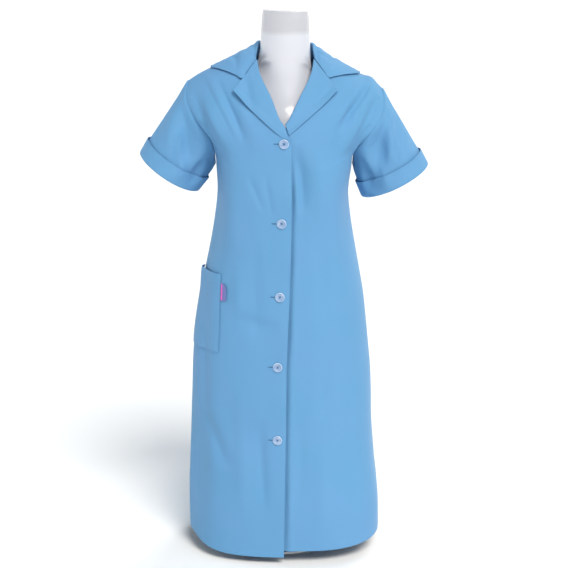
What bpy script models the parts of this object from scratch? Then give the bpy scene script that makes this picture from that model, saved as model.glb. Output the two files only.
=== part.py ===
"""A short-sleeved, button-through housecoat worn by a limbless dress form.

Metres, +Z up. The front faces -Y, the floor is z = 0 and the wearer's right is at -X.
Cloth is built as grids of points on its middle surface, given a wall on both sides.
"""
import math
from collections import namedtuple

import bpy
from mathutils import Vector
from mathutils.bvhtree import BVHTree

# Walls and gaps
CLOTH = 0.0012
FOLDED_CLOTH = 0.0015
SEAM_GAP = 0.0005
LAYER_GAP = 0.0005
LAP = (CLOTH + 0.0010) / 2

# Driving heights of the garment on the form
HEM = 0.017
UNDERARM = 0.8905
SHOULDER_TIP = 1.064
NECK_SIDE = 0.068
ARMHOLE_WIDTH = 0.213
LEAN = 0.041
LEAN_FROM = 0.88
LEAN_TO = 1.03
UPPER_SHIFT = 0.003
SHIFT_FROM = 0.98
SHIFT_TO = 1.06
PUFF_X = 0.189
PUFF_WIDTH = 0.014
PUFF_HEIGHT = 0.008
PUFF_FROM = 1.02
PUFF_TO = 1.07

# Buttoned front: the wearer's right lies on top, with its edge a little past the centre
EDGE_LINE = (
    (0.017, 0.0000), (0.154, 0.0013), (0.295, 0.0040), (0.463, 0.0055),
    (0.620, 0.0115), (0.780, 0.0155), (0.947, 0.0150),
)
OVERLAP = 0.040
BUTTONS = ((0.9515, 0.0150), (0.7808, 0.0208), (0.6194, 0.0202), (0.4623, 0.0193), (0.2943, 0.0185))
BUTTON_RADIUS = 0.0110
BUTTON_THICK = 0.0034
BUTTON_SIDES = 18
BUTTON_PROFILE = ((0.70, 0.0), (1.0, 0.30), (1.0, 0.62), (0.88, 1.0), (0.74, 1.0), (0.60, 0.62))
SHANK = 0.0004

# Half sections of the body below the underarm
Girth = namedtuple("Girth", "level half_width front back shift square")
GIRTHS = (
    Girth(HEM, 0.2195, 0.160, 0.151, 0.002, 2.60),
    Girth(0.100, 0.2190, 0.159, 0.151, 0.002, 2.55),
    Girth(0.200, 0.2125, 0.157, 0.150, -0.001, 2.40),
    Girth(0.300, 0.2080, 0.155, 0.152, -0.004, 2.35),
    Girth(0.400, 0.2045, 0.153, 0.150, -0.005, 2.35),
    Girth(0.500, 0.1965, 0.151, 0.149, -0.007, 2.35),
    Girth(0.600, 0.1835, 0.148, 0.142, -0.005, 2.35),
    Girth(0.700, 0.1640, 0.144, 0.128, -0.0035, 2.35),
    Girth(0.780, 0.1505, 0.142, 0.118, -0.003, 2.40),
    Girth(0.850, 0.1450, 0.142, 0.116, -0.002, 2.45),
    Girth(UNDERARM, 0.1500, 0.139, 0.117, 0.0, 2.45),
)

# Hem above the floor at the centre front, at the lower layer's edge, at the sides and at the back
HEM_UNDER = 0.013
HEM_SIDE = 0.028
HEM_BACK = 0.004
HEM_REACH = 0.25
HEM_CURVE = 6.0

# Rows above the underarm, from the centre line to the armhole; the last is the shoulder seam
Rise = namedtuple("Rise", "level z_in z_out half_width depth_in depth_out square arc droop edge")
FRONT_RISES = (
    Rise(0.920, 0.924, 0.920, 0.1520, 0.138, 0.034, 2.4, 0.990, 2.0, None),
    Rise(0.947, 0.955, 0.947, 0.1650, 0.134, 0.050, 2.4, 0.970, 2.0, -0.0140),
    Rise(0.967, 0.982, 0.967, 0.1800, 0.128, 0.055, 2.4, 0.950, 2.0, 0.0006),
    Rise(0.986, 1.010, 0.986, 0.1950, 0.119, 0.053, 2.4, 0.930, 2.0, 0.0174),
    Rise(1.007, 1.040, 1.007, 0.2080, 0.106, 0.044, 2.3, 0.920, 2.1, 0.0314),
    Rise(1.031, 1.074, 1.031, 0.2160, 0.087, 0.028, 2.2, 0.900, 2.2, 0.0488),
    Rise(1.050, 1.107, 1.050, 0.2155, 0.058, 0.011, 2.1, 0.880, 2.3, 0.0622),
    Rise(1.059, 1.125, 1.060, 0.2140, 0.026, 0.001, 2.1, 0.880, 2.35, 0.0654),
    Rise(SHOULDER_TIP, 1.130, SHOULDER_TIP, ARMHOLE_WIDTH, -0.0035, -0.0035, 2.1, 0.880, 2.35, NECK_SIDE),
)
BACK_RISES = (
    Rise(0.920, 0.926, 0.920, 0.1560, 0.1165, 0.034, 2.4, 0.990, 2.0, None),
    Rise(0.947, 0.960, 0.947, 0.1700, 0.1150, 0.050, 2.4, 0.970, 2.0, None),
    Rise(0.967, 0.986, 0.967, 0.1840, 0.1130, 0.056, 2.4, 0.950, 2.0, None),
    Rise(0.986, 1.010, 0.986, 0.1960, 0.1100, 0.057, 2.4, 0.930, 2.0, None),
    Rise(1.007, 1.036, 1.007, 0.2070, 0.1040, 0.052, 2.3, 0.920, 2.1, None),
    Rise(1.031, 1.062, 1.031, 0.2140, 0.0950, 0.036, 2.2, 0.900, 2.2, None),
    Rise(1.050, 1.084, 1.050, 0.2150, 0.0800, 0.018, 2.1, 0.880, 2.3, None),
    Rise(1.059, 1.098, 1.060, 0.2140, 0.0700, 0.009, 2.1, 0.880, 2.35, None),
)
BACK_NECK_DEPTH = 0.064
BACK_NECK_HEIGHT = 1.103

# Soft folds hung from a start to an end, by angle round the body and height
Fold = namedtuple("Fold", "angle_a z_a angle_b z_b width height")
BODY_FOLDS = (
    Fold(-66, 1.085, -34, 0.890, 0.019, 0.0080),
    Fold(-82, 1.040, -54, 0.860, 0.018, -0.0070),
    Fold(-48, 1.070, -20, 0.900, 0.018, -0.0060),
    Fold(64, 1.085, 28, 0.895, 0.019, -0.0080),
    Fold(80, 1.040, 50, 0.850, 0.019, 0.0070),
    Fold(8, 0.940, 10, 0.740, 0.026, -0.0040),
    Fold(-34, 0.400, -20, 0.230, 0.030, -0.0050),
    Fold(-68, 0.420, -60, -0.100, 0.036, -0.0070),
    Fold(-84, 0.380, -82, -0.100, 0.030, 0.0060),
    Fold(52, 0.480, 58, -0.120, 0.046, 0.0040),
    Fold(84, 0.460, 80, -0.120, 0.040, -0.0040),
    Fold(128, 0.600, 122, -0.550, 0.046, 0.0120),
    Fold(152, 0.640, 154, -0.550, 0.040, -0.0120),
    Fold(-176, 0.660, -178, -0.550, 0.042, 0.0110),
    Fold(-150, 0.600, -152, -0.550, 0.040, -0.0120),
    Fold(-122, 0.620, -126, -0.550, 0.044, 0.0120),
)
FOLD_RADIUS = 0.19
FOLD_RISE = 0.8
BUST_ANGLE = 34.0
BUST_SPREAD = 17.0
BUST_HEIGHT = 0.868
BUST_ABOVE = 0.055
BUST_BELOW = 0.15
BUST_SWELL = 0.012

# Mean half sizes of the body, for the angle round it and the way outward
BODY_WIDTH = 0.20
BODY_FRONT = 0.15
BODY_BACK = 0.14

# Where the two fronts stop lying one on the other: distance from the centre, and height
LAP_INNER = 0.046
LAP_OUTER = 0.080
LAP_LOW = 0.990
LAP_HIGH = 1.020

# Reach over which the body's normals are averaged
NEAR = 0.006
NEAR_DEPTH = 0.03

# Counts of rows and columns in the grids
SKIRT_ROWS = 15
CHEST_SPACING = 0.0195
FRONT_COLUMNS = 11
BACK_COLUMNS = 12

# Lapel: the roll line and the outer edge as seen from the front, from the break point up
ROLL_LINE = (
    (-0.0125, 0.9600), (-0.0064, 0.9694), (0.0000, 0.9870), (0.0110, 1.0010), (0.0325, 1.0483),
    (0.0484, 1.0778), (0.0561, 1.0940), (0.0605, 1.1100), (0.0620, 1.1190),
)
LAPEL_EDGE = (
    (-0.0085, 0.9600), (0.0000, 0.9630), (0.0192, 0.9765),
    (0.0470, 1.0000), (0.0780, 1.0265), (0.1095, 1.0560),
)
NOTCH = (0.0915, 1.0830)
LAPEL_ROWS = 12
LAPEL_COLUMNS = 6
NOTCH_COLUMN = 4
UNDER_ROLL_START = 0.200
UNDER_EDGE_START = 0.140
LAPEL_LIFT = 0.0026
LAPEL_TIP_LIFT = 0.0040
ROLL_WRAP = ((0.0003, 0.0002), (-0.0012, 0.0016), (0.0005, 0.0030))
ROLL_FLAT = 0.0006
LAPEL_RISE = 0.0010

# Collar, by station from the centre back to the gorge
Station = namedtuple("Station", "along neck fold edge")
COLLAR = (
    Station(0.00, (0.0000, 0.0655, 1.1070), (0.0000, 0.0625, 1.1430), (0.0000, 0.0950)),
    Station(0.25, (0.0410, 0.0560, 1.1120), (0.0385, 0.0530, 1.1470), (0.0720, 0.0920)),
    Station(0.50, (0.0630, 0.0280, 1.1210), (0.0575, 0.0280, 1.1530), (0.1250, 0.0730)),
    Station(0.75, (0.0670, 0.0000, 1.1300), (0.0608, 0.0030, 1.1400), (0.1610, 0.0360)),
    Station(1.00, (0.0662, -0.0165, 1.1240), (0.0635, -0.0190, 1.1270), (0.1595, -0.0130)),
)
COLLAR_STEPS = 22
NOTCH_AT = 0.40
FALL_SHARES = (0.0, 0.14, 0.27, NOTCH_AT, 0.52, 0.64, 0.76, 0.88, 1.0)
FALL_CURVE = 1.15
FOLD_WIDTH = 0.0045
COLLAR_LIFT = 0.0049
GORGE_SEAM = 0.0008
GORGE_LIFT = COLLAR_LIFT + 0.0006

# Sleeve and turned-up cuff: rim corners seen from the front, for the wearer's right and left
Arm = namedtuple("Arm", "side outer inner")
ARMS = (
    Arm(-1, (0.3165, 0.9160), (0.1915, 0.8330)),
    Arm(1, (0.3165, 0.8910), (0.1750, 0.8200)),
)
RIM_HALF_DEPTH = 0.056
RIM_POINT = 1.3
RIM_FORWARD = -0.004
RIM_TILT = 0.010
CUFF_HEIGHT = 0.035
CUFF_FLARE = 0.0025
CUFF_GAP = 0.0010
CUFF_SHARES = (1.0, 0.66, 0.33, 0.0)
CUFF_LIE = CLOTH / 2 + CUFF_GAP + FOLDED_CLOTH / 2
CUFF_LIP = ((CUFF_LIE * 0.60, CUFF_LIE * 0.75), (-0.0002, CUFF_LIE * 0.95))
ARMHOLE_SEAM = 0.0021
SLEEVE_ROWS = 9
SLEEVE_COLUMNS = 24
SleeveFold = namedtuple("SleeveFold", "start end width depth")
SLEEVE_FOLDS = (
    SleeveFold(150, 128, 10, -0.0060),
    SleeveFold(124, 104, 10, 0.0035),
    SleeveFold(100, 82, 11, -0.0045),
    SleeveFold(60, 50, 13, 0.0030),
    SleeveFold(206, 230, 11, -0.0060),
    SleeveFold(240, 262, 13, 0.0040),
    SleeveFold(300, 306, 14, -0.0035),
)

# Patch pocket at the wearer's right hip
POCKET_TOP = 0.661
POCKET_BOTTOM = 0.485
POCKET_TOP_X = -0.137
POCKET_BOTTOM_X = -0.144
POCKET_TO = 0.985
POCKET_GAPE = 0.0026
POCKET_ROWS = 9
POCKET_COLUMNS = 8
LABEL_TOP = 0.641
LABEL_HEIGHT = 0.037
LABEL_WIDTH = 0.013
LABEL_THICK = 0.0010
LABEL_CURL = 0.0022
LABEL_DROOP = 0.0020
LABEL_STEPS = 3

# Dress form, by ring; neck is how much of the round neck root the ring has
Ring = namedtuple("Ring", "z half_width front back square neck")
FORM_RINGS = (
    Ring(0.430, 0.128, 0.078, 0.088, 2.1, 0),
    Ring(0.436, 0.142, 0.090, 0.100, 2.1, 0),
    Ring(0.455, 0.152, 0.099, 0.109, 2.1, 0),
    Ring(0.500, 0.165, 0.108, 0.120, 2.1, 0),
    Ring(0.550, 0.168, 0.111, 0.124, 2.1, 0),
    Ring(0.620, 0.150, 0.104, 0.106, 2.1, 0),
    Ring(0.690, 0.124, 0.092, 0.084, 2.1, 0),
    Ring(0.730, 0.120, 0.091, 0.082, 2.1, 0),
    Ring(0.790, 0.129, 0.107, 0.092, 2.2, 0),
    Ring(0.850, 0.134, 0.122, 0.099, 2.3, 0),
    Ring(0.880, 0.136, 0.122, 0.101, 2.3, 0),
    Ring(0.930, 0.142, 0.112, 0.102, 2.2, 0),
    Ring(0.970, 0.156, 0.100, 0.099, 2.1, 0.5),
    Ring(1.000, 0.170, 0.086, 0.092, 2.0, 0.8),
    Ring(1.025, 0.180, 0.070, 0.082, 2.0, 0.9),
    Ring(1.045, 0.184, 0.056, 0.070, 1.9, 1),
    Ring(1.062, 0.182, 0.044, 0.058, 1.8, 1),
    Ring(1.075, 0.176, 0.034, 0.047, 1.7, 1),
    Ring(1.086, 0.165, 0.026, 0.038, 1.6, 1),
    Ring(1.096, 0.150, 0.020, 0.030, 1.6, 1),
    Ring(1.105, 0.132, 0.015, 0.023, 1.6, 1),
    Ring(1.113, 0.110, 0.011, 0.017, 1.6, 1),
    Ring(1.120, 0.078, 0.005, 0.009, 1.6, 1),
    Ring(1.126, 0.050, 0.003, 0.006, 1.6, 1),
    Ring(1.150, 0.000, 0.000, 0.000, 2.0, 1),
    Ring(1.190, 0.000, 0.000, 0.000, 2.0, 1),
    Ring(1.2200, 0.000, 0.000, 0.000, 2.0, 1),
    Ring(1.2255, 0.000, 0.000, 0.000, 2.0, 1),
)
NECK_SIZES = (
    (0.900, 0.0660, 0.0660), (1.060, 0.0600, 0.0620), (1.126, 0.0570, 0.0540), (1.150, 0.0555, 0.0525),
    (1.190, 0.0525, 0.0515), (1.220, 0.0512, 0.0505), (1.2255, 0.0490, 0.0480),
)
FORM_CLEAR = 0.0035
NECK_CLEAR_Z = 1.05
RIDGE_CLEAR = 0.0024
FORM_SIDES = 28
SEAT_GAP = 0.0003
POLE_RADIUS = 0.014
FLANGE_RADIUS = 0.042
FLANGE_THICK = 0.006
POLE_SIDES = 20
BASE_RADIUS = 0.112
BASE_THICK = 0.009
BASE_BEVEL_LOW = 0.002
BASE_BEVEL_TOP = 0.004
BASE_SIDES = 36


def clear_scene():
    """Remove whatever the file holds."""
    for obj in list(bpy.data.objects):
        bpy.data.objects.remove(obj)


def material(name, colour, roughness):
    """A plain Principled finish."""
    made = bpy.data.materials.new(name)
    made.use_nodes = True
    shader = made.node_tree.nodes["Principled BSDF"]
    shader.inputs["Base Color"].default_value = (*colour, 1.0)
    shader.inputs["Roughness"].default_value = roughness
    return made


def smooth(low, high, value):
    """0 below low, 1 above high and an S curve between."""
    share = min(1.0, max(0.0, (value - low) / (high - low)))
    return share * share * (3 - 2 * share)


def spline(knots, values, at):
    """Smooth curve through the values at the knots. Values are numbers or Vectors."""
    at = min(max(at, knots[0]), knots[-1])
    i = max(0, min(len(knots) - 2, sum(knot <= at for knot in knots) - 1))

    def slope(j):
        low, high = max(0, j - 1), min(len(knots) - 1, j + 1)
        return (values[high] - values[low]) / (knots[high] - knots[low])

    span = knots[i + 1] - knots[i]
    t = (at - knots[i]) / span
    return (
        values[i] * (2 * t**3 - 3 * t**2 + 1)
        + slope(i) * (span * (t**3 - 2 * t**2 + t))
        + values[i + 1] * (3 * t**2 - 2 * t**3)
        + slope(i + 1) * (span * (t**3 - t**2))
    )


def lean(point):
    """The shoulders sit a little higher on the wearer's right and puff up at the left sleeve head."""
    drop = LEAN * point.x * smooth(LEAN_FROM, LEAN_TO, point.z)
    off = (point.x - PUFF_X) / PUFF_WIDTH
    puff = PUFF_HEIGHT * math.exp(-off * off) * smooth(PUFF_FROM, PUFF_TO, point.z)
    return Vector((point.x + shift_upper(point.z), point.y, point.z - drop + puff))


def shift_upper(z):
    """Sideways shift of the shoulders at a height."""
    return UPPER_SHIFT * smooth(SHIFT_FROM, SHIFT_TO, z)


def section(row, edge, share):
    """Point of a half section, from x = edge at share 0 to the side at share 1; depth is positive."""
    power = row.square
    end = math.asin(row.arc ** (power / 2))
    start = math.copysign(math.asin((abs(edge) * row.arc / row.half_width) ** (power / 2)), edge)
    turn = start + (end - start) * share
    across = math.copysign(abs(math.sin(turn)) ** (2 / power), turn)
    bow = (1 - abs(across) ** power) ** (1 / power)
    bow_end = (1 - row.arc**power) ** (1 / power)
    x = across * row.half_width / row.arc
    depth = row.depth_out + (row.depth_in - row.depth_out) * (bow - bow_end) / (1 - bow_end)
    z = row.z_in + (row.z_out - row.z_in) * abs(x / row.half_width) ** row.droop
    return Vector((x, depth, z))


def girth_rows(layer):
    """The body's lower half sections as rows for the top, under or back piece."""
    rows = []
    for girth in GIRTHS:
        reach = 1 - smooth(0.0, HEM_REACH, girth.level - HEM)
        z_in = girth.level + {"top": 0.0, "under": HEM_UNDER, "back": HEM_BACK}[layer] * reach
        depth = girth.back if layer == "back" else girth.front
        rows.append(
            Rise(girth.level, z_in, girth.level + HEM_SIDE * reach, girth.half_width, depth, 0.0,
                 girth.square, 1.0, HEM_CURVE, None)
        )
    return rows


def shift_at(level):
    """Sideways shift of the body at a height."""
    return spline([girth.level for girth in GIRTHS], [girth.shift for girth in GIRTHS], level)


def edge_at(layer, level):
    """How far a front reaches past the centre line, as a negative half-section x."""
    x = spline([z for z, _ in EDGE_LINE], [x for _, x in EDGE_LINE], level) - shift_at(level)
    return -x if layer == "top" else x - OVERLAP


def swell(point, front):
    """Outward push of the bust and of the soft folds at a point of the body."""
    ahead = abs(point.y) / BODY_FRONT if front else -abs(point.y) / BODY_BACK
    angle = math.degrees(math.atan2(point.x / BODY_WIDTH, ahead))
    push = 0.0
    for fold in BODY_FOLDS:
        along = (fold.z_a - point.z) / (fold.z_a - fold.z_b)
        if not 0 < along < 1:
            continue
        off = (angle - (fold.angle_a + (fold.angle_b - fold.angle_a) * along) + 180) % 360 - 180
        away = math.radians(off) * FOLD_RADIUS / fold.width
        push += fold.height * math.exp(-away * away) * math.sin(math.pi * along**FOLD_RISE) ** 2
    if front:
        reach = BUST_ABOVE if point.z > BUST_HEIGHT else BUST_BELOW
        for side in (-1, 1):
            away_x = (angle - side * BUST_ANGLE) / BUST_SPREAD
            away_z = (point.z - BUST_HEIGHT) / reach
            push += BUST_SWELL * math.exp(-away_x * away_x - away_z * away_z)
    return push


def body_point(point, front, layer=0.0):
    """Place a half-section point on the worn body: push it outward, then lean it."""
    sign = -1 if front else 1
    placed = Vector((point.x, sign * point.y, point.z))
    outward = Vector((placed.x / BODY_WIDTH**2, placed.y / BODY_FRONT**2, 0.0))
    if outward.length > 1e-6:
        outward.normalize()
    upright = 1 - smooth(1.00, SHOULDER_TIP, point.z)
    placed += outward * (swell(placed, front) * upright)
    placed += outward * layer
    placed.x += shift_at(point.z)
    return lean(placed)


def levels(splits=1):
    """Heights of the rows: the skirt's, then the chest's up to the shoulder seam."""
    knots = [UNDERARM] + [row.level for row in FRONT_RISES]
    chest = []
    for low, high in zip(knots, knots[1:]):
        chest += [low, (low + high) / 2] if high - low > CHEST_SPACING else [low]
    base = [HEM + (UNDERARM - HEM) * i / SKIRT_ROWS for i in range(SKIRT_ROWS)] + chest
    fine = []
    for low, high in zip(base, base[1:] + knots[-1:]):
        fine += [low + (high - low) * i / splits for i in range(splits)]
    return fine + knots[-1:]


def front_rows(layer):
    """All rows of a front, from the hem to the shoulder seam."""
    return girth_rows(layer) + list(FRONT_RISES)


def front_edge(layer, row):
    """Inner end of a front row: the buttoned edge below the break point, the roll line above it."""
    if row.level > UNDERARM + 0.05 and (layer == "top" or row.edge > 0):
        return row.edge
    return edge_at(layer, row.level)


def lap_fade(x, z):
    """Where the two fronts lie one on the other: 1 there and 0 beyond."""
    return (1 - smooth(LAP_INNER, LAP_OUTER, abs(x))) * (1 - smooth(LAP_LOW, LAP_HIGH, z))


def front_point(layer, level, share, lift=0.0):
    """Point of a front's middle surface; lift moves it out."""
    rows = front_rows(layer)
    stations = [section(row, front_edge(layer, row), share) for row in rows]
    point = spline([row.level for row in rows], stations, level)
    if level <= UNDERARM:
        point.y = max(point.y, SEAM_GAP / 2)
    side, out = (-1, LAP) if layer == "top" else (1, -LAP)
    point.x *= side
    return body_point(point, True, out * lap_fade(point.x, point.z) + lift)


def front_grid(layer, columns=FRONT_COLUMNS):
    """Middle surface of one front, from its inner edge to the side seam and armhole."""
    shares = [column / columns for column in range(columns + 1)]
    return [[front_point(layer, level, share) for share in shares] for level in levels()]


def back_neckline(share):
    """The back's top row: the neckline from the centre, then the shoulder seam."""
    x = share * ARMHOLE_WIDTH
    seam = FRONT_RISES[-1]
    depth = -seam.depth_in + SEAM_GAP
    if x >= NECK_SIDE:
        z = seam.z_in + (seam.z_out - seam.z_in) * (x / ARMHOLE_WIDTH) ** seam.droop
        return Vector((x, depth, z))
    bow = math.sqrt(max(0.0, 1 - (x / NECK_SIDE) ** 2))
    side_height = seam.z_in + (seam.z_out - seam.z_in) * (NECK_SIDE / ARMHOLE_WIDTH) ** seam.droop
    return Vector((x, depth + (BACK_NECK_DEPTH - depth) * bow**0.8,
                   side_height + (BACK_NECK_HEIGHT - side_height) * bow))


def back_half(share, level):
    """Point of the back's half section, before it is placed on the body."""
    rows = girth_rows("back") + list(BACK_RISES)
    stations = [section(row, 0.0, share) for row in rows]
    top = stations[-1]
    stations.append(back_neckline(top.x / rows[-1].half_width))
    return spline([row.level for row in rows] + [SHOULDER_TIP], stations, level)


def back_grid(at_levels, columns=BACK_COLUMNS):
    """Middle surface of the back, from the wearer's right side seam to the left one."""
    grid = []
    for level in at_levels:
        line = []
        for column in range(-columns, columns + 1):
            side = -1 if column < 0 else 1
            point = back_half(abs(column) / columns, level)
            point.y = max(point.y, SEAM_GAP / 2)
            point.x *= side
            line.append(body_point(point, False))
        grid.append(line)
    return grid


def grid_normals(grid, closed, seam_row):
    """Unit normals of a grid. Those of a seam row lie in the seam's upright plane, to meet flush."""
    rows, columns = len(grid), len(grid[0])
    normals = []
    for i in range(rows):
        line = []
        for j in range(columns):
            left, right = (j - 1, (j + 1) % columns) if closed else (max(0, j - 1), min(columns - 1, j + 1))
            along = grid[i][right] - grid[i][left]
            up = grid[min(rows - 1, i + 1)][j] - grid[max(0, i - 1)][j]
            normal = along.cross(up)
            if seam_row and i == rows - 1:
                normal.y = 0.0
            line.append(normal.normalized())
        normals.append(line)
    return normals


def new_object(name, points, faces, finish):
    """A named object with one finish."""
    mesh = bpy.data.meshes.new(name)
    mesh.from_pydata(points, [], faces)
    mesh.materials.append(finish)
    mesh.update()
    made = bpy.data.objects.new(name, mesh)
    bpy.context.scene.collection.objects.link(made)
    mesh.shade_smooth()
    return made


def wall(name, grid, thick, finish, closed=False, flip=False, seam_row=False):
    """A closed wall round a grid: both sides, and a rim along each free edge."""
    rows, columns = len(grid), len(grid[0])
    normals = grid_normals(grid, closed, seam_row)
    sign = -1 if flip else 1
    points = [
        grid[i][j] + normals[i][j] * (side * sign * thick / 2)
        for side in (1, -1) for i in range(rows) for j in range(columns)
    ]
    inner = rows * columns
    faces = []

    def quad(a, b, c, d):
        faces.append((d, c, b, a) if flip else (a, b, c, d))

    spans = columns if closed else columns - 1
    for i in range(rows - 1):
        for j in range(spans):
            a, b = i * columns + j, i * columns + (j + 1) % columns
            c, d = b + columns, a + columns
            quad(a, b, c, d)
            quad(inner + d, inner + c, inner + b, inner + a)
    for j in range(spans):
        a, b = j, (j + 1) % columns
        quad(b, a, inner + a, inner + b)
        a, b = a + (rows - 1) * columns, b + (rows - 1) * columns
        quad(a, b, inner + b, inner + a)
    if not closed:
        for i in range(rows - 1):
            a, d = i * columns, (i + 1) * columns
            quad(a, d, inner + d, inner + a)
            a, d = a + columns - 1, d + columns - 1
            quad(d, a, inner + a, inner + d)
    return new_object(name, points, faces, finish)


def surface_tree():
    """The whole body's middle surface, with no opening, for pieces that lie on it."""
    fine = levels(2)
    points, faces = [], []
    for grid in (
        [list(reversed(line)) for line in closed_front(-1, fine)],
        closed_front(1, fine),
        back_grid(fine, 2 * BACK_COLUMNS),
    ):
        start, columns = len(points), len(grid[0])
        points += [point for line in grid for point in line]
        for i in range(len(grid) - 1):
            for j in range(columns - 1):
                a = start + i * columns + j
                faces.append((a, a + 1, a + 1 + columns, a + columns))
    return BVHTree.FromPolygons(points, faces)


def closed_front(side, at_levels):
    """One front's middle surface from the centre line, with no neck opening."""
    rows = front_rows("top")
    knots = [row.level for row in rows]
    columns = 2 * FRONT_COLUMNS
    stations = [[section(row, 0.0, column / columns) for row in rows] for column in range(columns + 1)]
    grid = []
    for level in at_levels:
        line = [spline(knots, station, level) for station in stations]
        grid.append([body_point(Vector((p.x * side, p.y, p.z)), True) for p in line])
    return grid


def on_front(tree, x, z, lift):
    """Point of the body's front seen at x, z, moved out along its normal."""
    hit, _, _, _ = tree.ray_cast(Vector((x, -1.0, z)), Vector((0, 1, 0)))
    normal = Vector()
    for dx, dz in ((0, 0), (NEAR, 0), (-NEAR, 0), (0, NEAR), (0, -NEAR)):
        near, facing, _, _ = tree.ray_cast(Vector((x + dx, -1.0, z + dz)), Vector((0, 1, 0)))
        if near is not None and abs(near.y - hit.y) < NEAR_DEPTH:
            normal += facing if facing.y < 0 else -facing
    return hit + normal.normalized() * lift


def on_top(tree, x, y, lift):
    """Point of the shoulders seen from above at x, y, moved out along its normal, or None."""
    hit, normal, _, _ = tree.ray_cast(Vector((x, y, 2.0)), Vector((0, 0, -1)))
    if hit is None:
        return None
    if normal.z < 0:
        normal.negate()
    return hit + normal * lift


def path_point(path, share):
    """Point at a share of the length of a smooth path."""
    points = [Vector(p) for p in path]
    knots = [0.0]
    for a, b in zip(points, points[1:]):
        knots.append(knots[-1] + (b - a).length)
    return spline(knots, points, knots[-1] * share)


def gorge(tree, side, t, lift, beside=0.0):
    """Seam between collar and lapel, from the roll line at t = 0 to the notch at t = 1."""
    start, notch = Vector(ROLL_LINE[-1]), Vector(NOTCH)
    across = (notch - start).normalized()
    at = start.lerp(notch, t) + Vector((-across.y, across.x)) * beside
    return on_front(tree, side * at.x + UPPER_SHIFT, at.y, lift)


def lapel_line(roll, outer, share, wrap):
    """One line of the lapel from the roll line to its outer edge, in x, z and lift."""
    across = outer - roll
    edge = across.normalized()
    tip = smooth(0.55, 1.0, share)
    top = ROLL_WRAP[-1][1]
    line = []
    for i, (step, lift) in enumerate(ROLL_WRAP):
        out = step * wrap + ROLL_FLAT * i * (1 - wrap)
        line.append((roll + edge * out, top + (lift - top) * wrap))
    for column in range(1, LAPEL_COLUMNS + 1):
        t = column / LAPEL_COLUMNS
        lift = LAPEL_LIFT + LAPEL_RISE * (1 - t) + LAPEL_TIP_LIFT * tip * t * t
        line.append((roll + across * t, lift))
    return line


def lapel(name, tree, layer, finish):
    """A turned-back front: it rolls out at the roll line and lies on the chest up to the gorge."""
    side, out = (-1, LAP) if layer == "top" else (1, -LAP)
    roll_start, edge_start = (0.0, 0.0) if layer == "top" else (UNDER_ROLL_START, UNDER_EDGE_START)
    grid = []
    for row in range(LAPEL_ROWS + 1):
        share = row / LAPEL_ROWS
        roll = path_point(ROLL_LINE, roll_start + (1 - roll_start) * share)
        outer = path_point(LAPEL_EDGE, edge_start + (1 - edge_start) * share)
        wrap = smooth(0.0, 0.25, share) if layer == "top" else 1.0
        bend = smooth(0.72, 1.0, share) ** 2
        placed = []
        for column, ((x, z), lift) in enumerate(lapel_line(roll, outer, share, wrap)):
            point = on_front(tree, side * x + shift_upper(z), z, lift + out * lap_fade(x, z))
            t = column + 1 - len(ROLL_WRAP)
            if bend and t > 0:
                if t <= NOTCH_COLUMN:
                    goal = gorge(tree, side, t / NOTCH_COLUMN, lift)
                else:
                    at = Vector(NOTCH).lerp(outer, (t - NOTCH_COLUMN) / (LAPEL_COLUMNS - NOTCH_COLUMN))
                    goal = on_front(tree, side * at.x + UPPER_SHIFT, at.y, lift)
                point = point.lerp(goal, bend)
            placed.append(point)
        grid.append(placed)
    return wall(name, grid, FOLDED_CLOTH, finish, flip=side < 0)


def collar_line(tree, side, along):
    """One cross section of the collar: up the stand, over the fold and down the fall."""
    knots = [s.along for s in COLLAR]
    neck = spline(knots, [Vector(s.neck) for s in COLLAR], along)
    fold = spline(knots, [Vector(s.fold) for s in COLLAR], along)
    edge = spline(knots, [Vector(s.edge) for s in COLLAR], along)
    out = Vector((fold.x, fold.y, 0.0)).normalized()
    start = fold + out * FOLD_WIDTH
    line = [lean(Vector((p.x * side, p.y, p.z))) for p in (
        neck, neck.lerp(fold, 0.5), fold, fold + out * FOLD_WIDTH / 2 + Vector((0, 0, FOLD_WIDTH / 2)),
    )]
    bend = smooth(0.45, 1.0, along) ** 1.5
    straight = Vector((start.x, start.y)).lerp(edge, NOTCH_AT)
    notch = gorge(tree, side, 1.0, 0.0)
    bow = Vector(((notch.x - UPPER_SHIFT) * side, notch.y)) - straight
    fall = []
    ground = None
    for t in reversed(FALL_SHARES):
        tent = t / NOTCH_AT if t < NOTCH_AT else (1 - t) / (1 - NOTCH_AT)
        plan = Vector((start.x, start.y)).lerp(edge, t) + bow * (bend * tent)
        hit = on_top(tree, plan.x * side + UPPER_SHIFT, plan.y, COLLAR_LIFT)
        if hit is None:
            hit = Vector((plan.x * side + UPPER_SHIFT, plan.y, ground))
        ground = hit.z
        fall.append(hit)
    rise = lean(Vector((start.x * side, start.y, start.z))).z - fall[-1].z
    ending = smooth(0.80, 1.0, along) ** 2
    for t, hit in zip(FALL_SHARES, reversed(fall)):
        point = hit + Vector((0, 0, rise * (1 - t) ** FALL_CURVE))
        if ending and t <= NOTCH_AT:
            point = point.lerp(gorge(tree, side, t / NOTCH_AT, GORGE_LIFT, GORGE_SEAM), ending)
        line.append(point)
    return line


def collar(tree, finish):
    """Stand and fall in one piece, from gorge to gorge round the back of the neck."""
    shares = [i / COLLAR_STEPS for i in range(COLLAR_STEPS + 1)]
    left = [collar_line(tree, -1, share) for share in reversed(shares)]
    right = [collar_line(tree, 1, share) for share in shares[1:]]
    return wall("collar", left + right, FOLDED_CLOTH, finish)


def resample(points, count):
    """The same line with evenly spaced points."""
    knots = [0.0]
    for a, b in zip(points, points[1:]):
        knots.append(knots[-1] + (b - a).length)
    return [spline(knots, points, knots[-1] * i / count) for i in range(count + 1)]


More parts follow.
